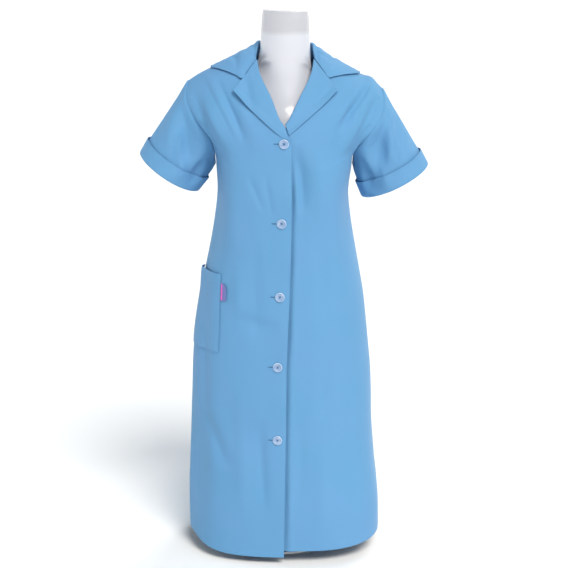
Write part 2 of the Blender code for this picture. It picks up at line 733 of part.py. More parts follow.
def armhole(side):
    """The armhole as a closed ring: from the shoulder tip down the front and up the back."""
    heights = [UNDERARM + (SHOULDER_TIP - UNDERARM) * i / 16 for i in range(17)]
    rows = front_rows("top")
    knots = [row.level for row in rows]
    stations = [section(row, 0.0, 1.0) for row in rows]
    front, back = [], []
    for level in heights:
        point = spline(knots, stations, level)
        front.append(body_point(Vector((point.x * side, point.y, point.z)), True))
        point = back_half(1.0, level)
        back.append(body_point(Vector((point.x * side, point.y, point.z)), False))
    half = SLEEVE_COLUMNS // 2
    down = resample(list(reversed(front)), half)
    up = resample(back, half)
    return down[:-1] + up[:-1]


def sleeve_ring(arm, ring, along, out=0.0, beyond=0.0, above_rim=None):
    """A ring of the sleeve between the armhole (0) and the rim (1), or at a distance above the rim."""
    outer = Vector((arm.outer[0] * arm.side, 0, arm.outer[1]))
    inner = Vector((arm.inner[0] * arm.side, 0, arm.inner[1]))
    middle = (outer + inner) / 2 + Vector((0, RIM_FORWARD, 0))
    across = (outer - inner) / 2
    wide = across.normalized()
    deep = Vector((0, -1, 0))
    down = Vector((wide.z * arm.side, 0, -wide.x * arm.side))
    points = []
    for column in range(SLEEVE_COLUMNS):
        turn = 2 * math.pi * column / SLEEVE_COLUMNS
        round_out = wide * math.cos(turn) + deep * math.sin(turn)
        depth = math.copysign(abs(math.sin(turn)) ** RIM_POINT, math.sin(turn))
        rim = middle + across * math.cos(turn) + deep * (RIM_HALF_DEPTH * depth)
        rim += down * (RIM_TILT * math.sin(turn))
        share = along if above_rim is None else 1 - above_rim / (rim - ring[column]).length
        point = ring[column].lerp(rim, share)
        degrees = math.degrees(turn)
        for fold in SLEEVE_FOLDS:
            off = (degrees - (fold.start + (fold.end - fold.start) * share)) / fold.width
            point += round_out * (fold.depth * math.exp(-off * off) * math.sin(math.pi * min(1, share)))
        points.append(point + round_out * out + down * beyond)
    return points


def sleeve(name, arm, finish):
    """A short sleeve from just outside the armhole to the inside of its cuff."""
    ring = armhole(arm.side)
    grid = []
    for row in range(SLEEVE_ROWS + 1):
        along = row / SLEEVE_ROWS
        start = Vector((arm.side * ARMHOLE_SEAM * (1 - smooth(0.0, 0.25, along)), 0, 0))
        grid.append([point + start for point in sleeve_ring(arm, ring, along)])
    return wall(name, grid, CLOTH, finish, closed=True, flip=arm.side < 0)


def cuff(name, arm, finish):
    """The turned-up cuff: a band outside the sleeve that folds in under its end."""
    ring = armhole(arm.side)
    grid = []
    for part in CUFF_SHARES:
        grid.append(sleeve_ring(arm, ring, 0.0, CUFF_LIE + CUFF_FLARE * part, 0.0, CUFF_HEIGHT * part))
    for out, beyond in CUFF_LIP:
        grid.append(sleeve_ring(arm, ring, 1.0, out, beyond))
    return wall(name, grid, FOLDED_CLOTH, finish, closed=True, flip=arm.side < 0)


def share_at(level, x):
    """Share of the top front whose point lies at x."""
    low, high = 0.2, 1.0
    for _ in range(20):
        middle = (low + high) / 2
        low, high = (middle, high) if front_point("top", level, middle).x > x else (low, middle)
    return low


def pocket(finish):
    """A patch on the wearer's right front; its mouth gapes towards the side seam."""
    grid = []
    for row in range(POCKET_ROWS + 1):
        up = row / POCKET_ROWS
        level = POCKET_BOTTOM + (POCKET_TOP - POCKET_BOTTOM) * up
        first = share_at(level, POCKET_BOTTOM_X + (POCKET_TOP_X - POCKET_BOTTOM_X) * up)
        line = []
        for column in range(POCKET_COLUMNS + 1):
            t = column / POCKET_COLUMNS
            gape = POCKET_GAPE * smooth(0.25, 1.0, up) * math.sin(math.pi * t**1.5) ** 0.8
            lift = CLOTH + LAYER_GAP * 1.5 + gape
            line.append(front_point("top", level, first + (POCKET_TO - first) * t, lift))
        grid.append(line)
    return wall("pocket", grid, CLOTH, finish, flip=True)


def label(tree, finish):
    """A plain ribbon tab caught in the front edge of the pocket."""
    grid = []
    for row in range(LABEL_STEPS + 1):
        level = LABEL_TOP - LABEL_HEIGHT + LABEL_HEIGHT * row / LABEL_STEPS
        up = (level - POCKET_BOTTOM) / (POCKET_TOP - POCKET_BOTTOM)
        root = POCKET_BOTTOM_X + (POCKET_TOP_X - POCKET_BOTTOM_X) * up + CLOTH / 2 + SEAM_GAP
        line = []
        for column in range(LABEL_STEPS + 1):
            t = column / LABEL_STEPS
            lift = CLOTH + SEAM_GAP + LABEL_CURL * t * t
            line.append(on_front(tree, root + LABEL_WIDTH * t, level - LABEL_DROOP * t, lift))
        grid.append(line)
    return wall("label", grid, LABEL_THICK, finish)


def button(name, tree, z, back_from_edge, finish):
    """A round button: raised rim, dished middle."""
    x = spline([level for level, _ in EDGE_LINE], [edge for _, edge in EDGE_LINE], z) - back_from_edge
    seat = on_front(tree, x, z, 0.0)
    ahead = (on_front(tree, x, z, 1.0) - seat).normalized()
    base = LAP + CLOTH / 2 + SHANK
    turn = ahead.to_track_quat("Z", "Y")
    rings = []
    for share, height in BUTTON_PROFILE:
        rings.append([
            seat + turn @ Vector((
                BUTTON_RADIUS * share * math.cos(2 * math.pi * step / BUTTON_SIDES),
                BUTTON_RADIUS * share * math.sin(2 * math.pi * step / BUTTON_SIDES),
                base + height * BUTTON_THICK,
            ))
            for step in range(BUTTON_SIDES)
        ])
    return stack(name, rings, finish)


def ridge_width(z):
    """Half width of the shoulders at a height, just under the shoulder seams."""
    seam = FRONT_RISES[-1]
    drop = (seam.z_in - z - RIDGE_CLEAR) / (seam.z_in - seam.z_out)
    return ARMHOLE_WIDTH * max(0.0, drop) ** (1 / seam.droop)


def oval(x, half_width, depth, power):
    """Depth of a rounded outline at x, 0 beyond its width."""
    if half_width <= 0 or abs(x) >= half_width:
        return 0.0
    return depth * (1 - (abs(x) / half_width) ** power) ** (1 / power)


def form_ring(tree, ring):
    """A ring of the dress form: shoulders and neck root blended, kept inside the cloth."""
    heights = [row[0] for row in NECK_SIZES]
    neck_width = spline(heights, [row[1] for row in NECK_SIZES], ring.z)
    neck_depth = spline(heights, [row[2] for row in NECK_SIZES], ring.z)
    wide = max(neck_width if ring.neck == 1 else 0.0, min(ring.half_width, ridge_width(ring.z)))
    points = []
    for step in range(FORM_SIDES):
        turn = 2 * math.pi * step / FORM_SIDES
        x = wide * math.sin(turn)
        front = math.cos(turn) > 0
        body = oval(x, wide, ring.front if front else ring.back, ring.square)
        root = oval(x, neck_width, neck_depth, 2.0) * ring.neck
        depth = (body**3 + root**3) ** (1 / 3)
        point = lean(Vector((x, -depth if front else depth, ring.z)))
        if abs(math.cos(turn)) > 1e-6 and (ring.z < NECK_CLEAR_Z or abs(x) > neck_width):
            sign = -1 if front else 1
            hit, _, _, _ = tree.ray_cast(Vector((point.x, sign, point.z)), Vector((0, -sign, 0)))
            if hit is not None and abs(hit.y) - FORM_CLEAR < abs(point.y):
                point.y = sign * max(0.0, abs(hit.y) - FORM_CLEAR)
        points.append(point)
    return points


def stack(name, rings, finish):
    """A closed solid through rings of points, from the bottom up, with flat ends."""
    sides = len(rings[0])
    points = [point for ring in rings for point in ring]
    faces = [tuple(reversed(range(sides))), tuple(len(points) - sides + i for i in range(sides))]
    for i in range(len(rings) - 1):
        for j in range(sides):
            a, b = i * sides + j, i * sides + (j + 1) % sides
            faces.append((a, b, b + sides, a + sides))
    return new_object(name, points, faces, finish)


def turned(name, profile, sides, finish):
    """A solid of revolution about Z from (radius, height) pairs, bottom up."""
    rings = []
    for radius, z in profile:
        turns = [2 * math.pi * i / sides for i in range(sides)]
        rings.append([Vector((radius * math.cos(turn), radius * math.sin(turn), z)) for turn in turns])
    return stack(name, rings, finish)


def main():
    """Build every piece of the housecoat, then the form and its stand."""
    clear_scene()
    blue = material("blue_cloth", (0.17, 0.43, 0.74), 0.75)
    shell = material("button_shell", (0.80, 0.82, 0.86), 0.30)
    ribbon = material("pink_ribbon", (0.60, 0.20, 0.50), 0.60)
    white = material("form_white", (0.82, 0.83, 0.86), 0.25)
    steel = material("stand_steel", (0.70, 0.71, 0.73), 0.35)

    tree = surface_tree()
    wall("front_right", front_grid("top"), CLOTH, blue, flip=True, seam_row=True)
    wall("front_left", front_grid("under"), CLOTH, blue, seam_row=True)
    wall("back", back_grid(levels()), CLOTH, blue, flip=True, seam_row=True)
    lapel("lapel_right", tree, "top", blue)
    lapel("lapel_left", tree, "under", blue)
    collar(tree, blue)
    for arm, side in zip(ARMS, ("right", "left")):
        sleeve(f"sleeve_{side}", arm, blue)
        cuff(f"cuff_{side}", arm, blue)
    pocket(blue)
    label(tree, ribbon)
    for number, (z, back_from_edge) in enumerate(BUTTONS, 1):
        button(f"button_{number}", tree, z, back_from_edge, shell)
    stack("dress_form", [form_ring(tree, ring) for ring in FORM_RINGS], white)
    underside = FORM_RINGS[0].z
    flange_low = underside - SEAT_GAP - FLANGE_THICK
    turned("stand_flange", (
        (FLANGE_RADIUS, flange_low), (FLANGE_RADIUS, underside - SEAT_GAP),
    ), POLE_SIDES, steel)
    turned("stand_pole", (
        (POLE_RADIUS, BASE_THICK + SEAT_GAP), (POLE_RADIUS, flange_low - SEAT_GAP),
    ), POLE_SIDES, steel)
    turned("stand_base", (
        (BASE_RADIUS - BASE_BEVEL_LOW, 0.0), (BASE_RADIUS, BASE_BEVEL_LOW),
        (BASE_RADIUS, BASE_THICK - BASE_BEVEL_TOP), (BASE_RADIUS - BASE_BEVEL_TOP, BASE_THICK),
    ), BASE_SIDES, steel)


main()
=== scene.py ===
"""Looks of a short-sleeved, button-through housecoat worn by a dress form.

Every cloth piece is a fine shell grown from the middle surface of its solid wall, with
soft creases, hems and sewing added. Metres, +Z up, the buttoned front faces -Y.
"""

import logging
import math
from dataclasses import dataclass, field
from enum import Enum

import bmesh
import bpy
import numpy as np
from mathutils import Matrix, Vector, noise
from mathutils.bvhtree import BVHTree


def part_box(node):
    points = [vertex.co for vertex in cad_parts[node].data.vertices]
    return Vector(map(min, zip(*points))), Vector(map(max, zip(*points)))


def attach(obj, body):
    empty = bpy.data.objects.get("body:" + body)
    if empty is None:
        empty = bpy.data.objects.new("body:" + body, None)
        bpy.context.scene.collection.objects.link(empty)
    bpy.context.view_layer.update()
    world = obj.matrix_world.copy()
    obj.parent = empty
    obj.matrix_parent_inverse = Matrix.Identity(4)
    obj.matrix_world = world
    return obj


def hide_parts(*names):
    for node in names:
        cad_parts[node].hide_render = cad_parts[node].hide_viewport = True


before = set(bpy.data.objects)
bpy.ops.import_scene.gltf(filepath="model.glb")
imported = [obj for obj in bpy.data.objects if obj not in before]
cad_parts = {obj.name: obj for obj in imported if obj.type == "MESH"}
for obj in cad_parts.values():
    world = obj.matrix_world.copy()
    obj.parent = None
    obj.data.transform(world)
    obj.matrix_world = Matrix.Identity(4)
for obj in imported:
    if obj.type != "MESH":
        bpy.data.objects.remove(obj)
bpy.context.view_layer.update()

LOG = logging.getLogger("housecoat")
BODY = "root"
COAT_SLOT = "blue_cloth"
UV_NAME = "Cloth"
MERGE = 1e-6
SPIN_MERGE = 1e-5
EXACT = 3e-7
UPRIGHT = (0, 0, 1)
BEHIND = Vector((0, 1, 0))
IN_FRONT = -1.0

Colour = tuple[float, float, float]
Size = tuple[float, float, float]
Plan = tuple[float, float]
Pair = tuple[np.ndarray, np.ndarray]


class Face(Enum):
    """Which side of the coat a crease is seen on."""

    FRONT = -1
    BACK = 1


class Edge(Enum):
    """An edge of a panel's grid."""

    FIRST_ROW = "first row"
    LAST_ROW = "last row"
    FIRST_COLUMN = "first column"
    LAST_COLUMN = "last column"


def smooth(low: float, high: float, value: np.ndarray | float) -> np.ndarray | float:
    """An S curve from 0 to 1.

    Args:
        low: Value at which the curve leaves 0.
        high: Value at which it reaches 1.
        value: One value or many.

    Returns:
        The curve at each value.
    """
    share = np.clip((value - low) / (high - low), 0.0, 1.0)
    return share * share * (3 - 2 * share)


def bell(away: np.ndarray, half: float) -> np.ndarray:
    """A bell curve of a half width, 1 where away is 0."""
    return np.exp(-((away / half) ** 2))


def unit(vectors: np.ndarray) -> np.ndarray:
    """Vectors of length 1 along the last axis."""
    return vectors / np.maximum(np.linalg.norm(vectors, axis=-1, keepdims=True), 1e-12)


class Link:
    """An output socket that takes part in sums, so that shader maths reads as maths."""

    def __init__(self, graph: "Graph", socket: bpy.types.NodeSocket) -> None:
        """Keep the socket and the graph it belongs to."""
        self.graph, self.socket = graph, socket

    def _math(self, operation: str, first: object, second: object) -> "Link":
        """A Math node on two numbers or links."""
        return self.graph.node("ShaderNodeMath", {"operation": operation}, {0: first, 1: second})

    def __add__(self, other: object) -> "Link":
        """This plus other."""
        return self._math("ADD", self, other)

    def __radd__(self, other: object) -> "Link":
        """Other plus this."""
        return self._math("ADD", other, self)

    def __sub__(self, other: object) -> "Link":
        """This less other."""
        return self._math("SUBTRACT", self, other)

    def __rsub__(self, other: object) -> "Link":
        """Other less this."""
        return self._math("SUBTRACT", other, self)

    def __mul__(self, other: object) -> "Link":
        """This times other."""
        return self._math("MULTIPLY", self, other)

    def __rmul__(self, other: object) -> "Link":
        """Other times this."""
        return self._math("MULTIPLY", other, self)

    def sine(self) -> "Link":
        """The sine of this, in radians."""
        return self._math("SINE", self, 0.0)

    def above(self, limit: float) -> "Link":
        """1 where this is over the limit, 0 elsewhere."""
        return self._math("GREATER_THAN", self, limit)


class Graph:
    """A node tree under construction."""

    def __init__(self, tree: bpy.types.NodeTree) -> None:
        """Build into the given tree."""
        self.tree = tree

    def node(self, kind: str, settings: dict[str, object] | None = None,
             inputs: dict[str | int, object] | None = None, output: str | int = 0) -> Link:
        """Add one node.

        Args:
            kind: Blender's type name of the node.
            settings: The node's own settings, set first.
            inputs: Values or links of its sockets, by name or place.
            output: The output that is wanted.

        Returns:
            A link from that output.
        """
        made = self.tree.nodes.new(kind)
        for name, value in (settings or {}).items():
            setattr(made, name, value)
        self.feed(made, inputs or {})
        return Link(self, made.outputs[output])

    def feed(self, node: bpy.types.Node, inputs: dict[str | int, object]) -> None:
        """Set or link a node's sockets.

        Args:
            node: The node.
            inputs: Values or links, by name or place.
        """
        for name, value in inputs.items():
            if isinstance(value, Link):
                self.tree.links.new(value.socket, node.inputs[name])
            else:
                node.inputs[name].default_value = value

    def place(self) -> Link:
        """Object coordinates."""
        return self.node("ShaderNodeTexCoord", None, None, "Object")

    def cloth(self) -> Link:
        """The place on the flat cloth, in metres."""
        return self.node("ShaderNodeUVMap", {"uv_map": UV_NAME})

    def part(self, vector: Link, axis: str) -> Link:
        """One number of a vector."""
        return self.node("ShaderNodeSeparateXYZ", None, {"Vector": vector}, axis)

    def mix(self, factor: Link | float, first: object, second: object) -> Link:
        """A colour between two colours.

        Args:
            factor: 0 for the first colour, 1 for the second.
            first: A colour or a link.
            second: A colour or a link.

        Returns:
            The mixed colour.
        """
        pair = [(*c, 1.0) if isinstance(c, tuple) else c for c in (first, second)]
        return self.node("ShaderNodeMix", {"data_type": "RGBA"}, {0: factor, 6: pair[0], 7: pair[1]}, 2)

    def noise(self, vector: Link, scale: float, detail: float = 2.0) -> Link:
        """Noise from 0 to 1 on a vector."""
        return self.node("ShaderNodeTexNoise", None, {"Vector": vector, "Scale": scale, "Detail": detail})

    def bump(self, height: Link, strength: float, distance: float) -> Link:
        """A normal tilted by a height."""
        return self.node("ShaderNodeBump", None,
                         {"Height": height, "Strength": strength, "Distance": distance})


@dataclass(frozen=True)
class Finish:
    """A material: its Principled shader gets what inputs() gives."""

    name: str

    def inputs(self, graph: Graph) -> dict[str, object]:
        """Values and links by socket name."""
        raise NotImplementedError

    def make(self) -> bpy.types.Material:
        """Build the material.

        Returns:
            The finished material.
        """
        made = bpy.data.materials.new(self.name)
        made.use_nodes = True
        graph = Graph(made.node_tree)
        graph.feed(made.node_tree.nodes["Principled BSDF"], self.inputs(graph))
        return made


@dataclass(frozen=True)
class Poplin(Finish):
    """Plain-woven poly-cotton: matt, with a faint sheen and a fine even thread."""

    colour: Colour = (0.100, 0.300, 0.532)
    other: Colour = (0.114, 0.300, 0.548)
    worn: Colour = (0.24, 0.46, 0.72)
    roughness: float = 0.78
    thread: float = 0.00050
    weave: float = 0.00006
    slub: float = 900.0
    mottle: float = 7.0

    def inputs(self, graph: Graph) -> dict[str, object]:
        """Cloudy blue with a woven grain.

        Args:
            graph: The material's graph.

        Returns:
            Values and links by socket name.
        """
        cloth = graph.cloth()
        turns = 2 * math.pi / self.thread
        weave = (graph.part(cloth, "X") * turns).sine() * (graph.part(cloth, "Y") * turns).sine()
        slub = graph.noise(cloth, self.slub, 3.0)
        cloudy = graph.noise(graph.place(), self.mottle, 3.0)
        base = graph.mix((cloudy - 0.5) * 2.2 + 0.5, self.colour, self.other)
        return {
            "Base Color": graph.mix(slub * 0.08, base, self.worn),
            "Roughness": self.roughness + (slub - 0.5) * 0.10,
            "Normal": graph.bump(weave + slub * 0.8, 0.35, self.weave),
            "Sheen Weight": 0.10,
            "Sheen Roughness": 0.45,
            "Specular IOR Level": 0.50,
        }


@dataclass(frozen=True)
class Yarn(Finish):
    """Sewing thread: a little brighter than the cloth, with a twist."""

    colour: Colour = (0.118, 0.335, 0.590)
    shade: float = 0.75
    twist: float = 1800.0

    def inputs(self, graph: Graph) -> dict[str, object]:
        """Twisted thread in light and shade.

        Args:
            graph: The material's graph.

        Returns:
            Values and links by socket name.
        """
        twist = graph.noise(graph.place(), self.twist, 1.0)
        return {
            "Base Color": graph.mix(twist * 0.5, self.colour, tuple(c * self.shade for c in self.colour)),
            "Roughness": 0.55,
            "Normal": graph.bump(twist, 0.4, 0.0001),
            "Sheen Weight": 0.2,
        }


@dataclass(frozen=True)
class Pearl(Finish):
    """Button shell: milky, glossy, with cloudy pink inside a pale rim, and painted blue in the thin dish that
    stands in for the coat's cloth seen through the shell.
    """

    pale: Colour = (0.64, 0.71, 0.79)
    pink: Colour = (0.48, 0.49, 0.64)
    see_through_blue: Colour = (0.16, 0.32, 0.56)
    rim_from: float = 0.0090

    def inputs(self, graph: Graph) -> dict[str, object]:
        """Clouded pearl.

        Args:
            graph: The material's graph.

        Returns:
            Values and links by socket name.
        """
        place = graph.place()
        cloud = graph.noise(place, 120.0, 4.0)
        swirl = graph.noise(place, 260.0, 2.0)
        radius = graph.node("ShaderNodeVectorMath", {"operation": "LENGTH"}, {0: graph.cloth()}, "Value")
        # Painted see-through: the blue stands in for the coat's cloth showing through the thin dish; the pink
        # cloud is the shell's own tint.
        pale = graph.mix((cloud - 0.45) * 1.6, graph.mix(swirl * 0.5, self.see_through_blue, self.pink), self.pale)
        return {
            # The thick rim stays pale, since no cloth shows through it.
            "Base Color": graph.mix((radius - self.rim_from) * 900.0, pale, self.pale),
            "Roughness": 0.22 + cloud * 0.15,
            "Coat Weight": 0.6,
            "Coat Roughness": 0.08,
        }


@dataclass(frozen=True)
class Ribbon(Finish):
    """Woven ribbon in two bands: magenta next to the seam, violet beyond it."""

    seam: Colour = (0.70, 0.080, 0.46)
    outer: Colour = (0.100, 0.130, 0.410)
    bright: Colour = (0.40, 0.30, 0.60)
    split: float = 0.0048
    rib: float = 0.0007

    def inputs(self, graph: Graph) -> dict[str, object]:
        """Ribbed bands.

        Args:
            graph: The material's graph.

        Returns:
            Values and links by socket name.
        """
        cloth = graph.cloth()
        ribs = (graph.part(cloth, "Y") * (2 * math.pi / self.rib)).sine() * 0.5 + 0.5
        bands = graph.mix(graph.part(cloth, "X").above(self.split), self.seam, self.outer)
        return {
            "Base Color": graph.mix(ribs * 0.10, bands, self.bright),
            "Roughness": 0.42 + ribs * 0.15,
            "Normal": graph.bump(ribs, 0.5, 0.00012),
            "Sheen Weight": 0.3,
        }


@dataclass(frozen=True)
class Shell(Finish):
    """Glossy moulded plastic of the dress form; the top of its neck is greyed by painted shade, standing in
    for the part of the gloss that reflects no lamp.
    """

    colour: Colour = (0.665, 0.670, 0.725)
    shade: Colour = (0.64, 0.645, 0.70)
    painted_shade_top: Colour = (0.52, 0.52, 0.56)
    painted_shade_from: float = 1.176

    def inputs(self, graph: Graph) -> dict[str, object]:
        """White gloss with a faint ripple, and painted shade over the top of the neck.

        Args:
            graph: The material's graph.

        Returns:
            Values and links by socket name.
        """
        place = graph.place()
        cloud = graph.noise(place, 5.0, 2.0)
        ripple = graph.noise(place, 28.0, 2.0)
        # Painted shade: above this height the neck is greyed, standing in for the top of the glossy neck that
        # catches no reflection of the lamps.
        painted_shade_mask = (graph.part(place, "Z") - self.painted_shade_from + ripple * 0.006) * 90.0
        return {
            "Base Color": graph.mix(painted_shade_mask, graph.mix(cloud, self.colour, self.shade), self.painted_shade_top),
            "Roughness": 0.16 + ripple * 0.10,
            "Normal": graph.bump(ripple, 0.12, 0.002),
            "Coat Weight": 0.5,
            "Coat Roughness": 0.06,
        }


@dataclass(frozen=True)
class Steel(Finish):
    """Satin steel, turned round the upright axis."""

    colour: Colour = (0.62, 0.63, 0.65)
    dull: Colour = (0.45, 0.46, 0.48)
    drawn: Size = (1.0, 1.0, 0.04)

    def inputs(self, graph: Graph) -> dict[str, object]:
        """Steel with a drawn grain.

        Args:
            graph: The material's graph.

        Returns:
            Values and links by socket name.
        """
        drawn = graph.node("ShaderNodeMapping", None, {"Vector": graph.place(), "Scale": self.drawn})
        grain = graph.noise(drawn, 900.0, 2.0)
        return {
            "Base Color": graph.mix(grain * 0.4, self.colour, self.dull),
            "Metallic": 1.0,
            "Roughness": 0.28 + grain * 0.14,
            "Normal": graph.bump(grain, 0.15, 0.0002),
        }


@dataclass(frozen=True)
class Mottled(Finish):
    """A plain matt finish between two near colours: the painted shade in the buttonhole slits, studio floor.
    """

    colour: Colour
    other: Colour
    scale: float
    roughness: float

    def inputs(self, graph: Graph) -> dict[str, object]:
        """Matt mottling.

        Args:
            graph: The material's graph.

        Returns:
            Values and links by socket name.
        """
        mottle = graph.noise(graph.place(), self.scale)
        return {"Base Color": graph.mix(mottle, self.colour, self.other), "Roughness": self.roughness}


def add_object(name: str, mesh: bpy.types.Mesh) -> bpy.types.Object:
    """A new object at the origin.

    Args:
        name: Name of the object.
        mesh: Its mesh.

    Returns:
        The object, in the scene.
    """
    made = bpy.data.objects.new(name, mesh)
    bpy.context.scene.collection.objects.link(made)
    return made


def plain_mesh(name: str, mesh: bmesh.types.BMesh, finish: bpy.types.Material | None = None,
               sharp: float | None = None) -> bpy.types.Mesh:
    """Turn a working mesh into a smooth plain one, and free it.

    Args:
        name: Name of the new mesh.
        mesh: The working mesh.
        finish: Its material.
        sharp: Angle in degrees from which edges stay sharp.

    Returns:
        The plain mesh.
    """
    made = bpy.data.meshes.new(name)
    mesh.to_mesh(made)
    mesh.free()
    if finish:
        made.materials.append(finish)
    made.shade_smooth()
    if sharp:
        made.set_sharp_from_angle(angle=math.radians(sharp))
    return made


def on_body(made: bpy.types.Object, node: str | None = None) -> bpy.types.Object:
    """Let a piece ride on the body.

    Args:
        made: The piece.
        node: The CAD node in whose place it stands, if it does.

    Returns:
        The same piece.
    """
    if node:
        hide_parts(node)
    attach(made, BODY)
    return made


def bridge(mesh: bmesh.types.BMesh, one: list, two: list) -> None:
    """Join two rings of as many vertices.

    Args:
        mesh: The mesh that holds them.
        one: A ring.
        two: The ring beyond it.
    """
    for i in range(len(one)):
        k = (i + 1) % len(one)
        mesh.faces.new((one[i], one[k], two[k], two[i]))


def spun(profile: list[Plan], steps: int) -> bmesh.types.BMesh:
    """A solid turned round the upright axis.

    Args:
        profile: Radius and height from its lower to its upper middle.
        steps: Number of segments.

    Returns:
        The working mesh, its faces outward.
    """
    mesh = bmesh.new()
    verts = [mesh.verts.new((radius, 0.0, height)) for radius, height in profile]
    wire = [mesh.edges.new(pair) for pair in zip(verts, verts[1:])]
    bmesh.ops.spin(mesh, geom=verts + wire, axis=UPRIGHT, cent=(0, 0, 0), steps=steps,
                   angle=2 * math.pi, use_merge=True)
    bmesh.ops.remove_doubles(mesh, verts=mesh.verts, dist=SPIN_MERGE)
    bmesh.ops.recalc_face_normals(mesh, faces=mesh.faces)
    return mesh


class Skin:
    """One side of a solid as triangles, walked back into rows and columns of vertices."""

    def __init__(self, faces: list[tuple[int, int, int]], points: np.ndarray) -> None:
        """Index the triangles by their directed edges.

        Args:
            faces: Triangles of vertex numbers, all wound one way.
            points: Every vertex's place.
        """
        self.points = points
        self.faces = faces
        self.third = {}
        for a, b, c in faces:
            self.third.update({(a, b): c, (b, c): a, (c, a): b})

    def loops(self) -> list[list[int]]:
        """The free edges.

        Returns:
            Closed loops of vertices.
        """
        after = {a: b for a, b in self.third if (b, a) not in self.third}
        found = []
        while after:
            loop = [next(iter(after))]
            while loop[-1] in after:
                loop.append(after.pop(loop[-1]))
            found.append(loop[:-1])
        return found

    def facing(self) -> float:
        """How much of the skin looks away from the upright axis through the body.

        Returns:
            A sum over its triangles, below 0 for an inner skin.
        """
        corners = self.points[np.array(self.faces)]
        normals = np.cross(corners[:, 1] - corners[:, 0], corners[:, 2] - corners[:, 0])
        away = corners.mean(axis=1) - np.array((0.0, 0.0, self.points[:, 2].mean()))
        return float((normals * away).sum())

    def _across(self, a: int, b: int, ahead: bool) -> int:
        """The third corner of the triangle beyond edge a to b."""
        return self.third[(a, b) if ahead else (b, a)]

    def _next_row(self, row: list[int], first: int, ahead: bool, closed: bool) -> list[int]:
        """The row beyond a row.

        Args:
            row: The known row.
            first: First vertex of the row beyond it.
            ahead: Which side of the row's edges is beyond it.
            closed: Whether the row is a ring.

        Returns:
            The row beyond it.
        """
        made = [first]
        pairs = list(zip(row, row[1:] + row[:1] if closed else row[1:]))
        for a, b in pairs[:-1] if closed else pairs:
            corner = self._across(a, b, ahead)
            made.append(self._across(made[-1], b, ahead) if corner == made[-1] else corner)
        return made

    def rows(self, first_row: list[int], starts: list[int] | None, count: int,
             guide: np.ndarray | None = None) -> list[list[int]]:
        """Walk the skin from its first row.

        Args:
            first_row: Vertices of the first row.
            starts: First vertex of every row, or None on a ring.
            count: Number of rows.
            guide: On a ring, places that each row's first vertex should be nearest to.

        Returns:
            Rows of vertex numbers.
        """
        found = [first_row]
        for number in range(1, count):
            row = found[-1]
            ahead = (row[0], row[1]) in self.third and (
                number == 1 or self.third[(row[0], row[1])] not in found[-2])
            if starts is not None:
                start = starts[number]
            else:
                near = self._across(row[0], row[1], ahead)
                other = self._across(row[0], near, ahead)
                goal = self.points[row[0]] if guide is None else guide[number]
                start = min((near, other), key=lambda v: float(np.linalg.norm(self.points[v] - goal)))
            found.append(self._next_row(row, start, ahead, starts is None))
        return found


def turning(points: np.ndarray, loop: list[int]) -> np.ndarray:
    """How sharply a loop turns.

    Args:
        points: Every vertex's place.
        loop: Vertices of the loop.

    Returns:
        One number for each vertex, from 0 to 2.
    """
    at = points[np.array(loop)]
    before = unit(at - np.roll(at, 1, axis=0))
    after = unit(np.roll(at, -1, axis=0) - at)
    return 1 - (before * after).sum(axis=1)


def merged_mesh(node: str) -> tuple[np.ndarray, list[tuple[int, int, int]]]:
    """A CAD node's mesh with its doubles merged.

    Args:
        node: Name of the node.

    Returns:
        Its vertices and its triangles.
    """
    mesh = bmesh.new()
    mesh.from_mesh(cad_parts[node].data)
    bmesh.ops.remove_doubles(mesh, verts=mesh.verts, dist=MERGE)
    mesh.verts.index_update()
    points = np.array([v.co[:] for v in mesh.verts])
    faces = [tuple(v.index for v in f.verts) for f in mesh.faces]
    mesh.free()
    return points, faces


def split_skins(faces: list[tuple[int, int, int]], points: np.ndarray) -> list[Skin]:
    """Separate triangles into connected skins.

    Args:
        faces: The triangles.
        points: Every vertex's place.

    Returns:
        One skin for each connected group.
    """
    owner = list(range(len(points)))

    def root(v: int) -> int:
        """The vertex that stands for a skin.

        Args:
            v: Any of the skin's vertices.

        Returns:
            The same vertex for all of them.
        """
        while owner[v] != v:
            owner[v] = owner[owner[v]]
            v = owner[v]
        return v

    for a, b, c in faces:
        owner[root(a)] = root(b)
        owner[root(b)] = root(c)
    groups: dict[int, list] = {}
    for face in faces:
        groups.setdefault(root(face[0]), []).append(face)
    return [Skin(group, points) for group in groups.values()]


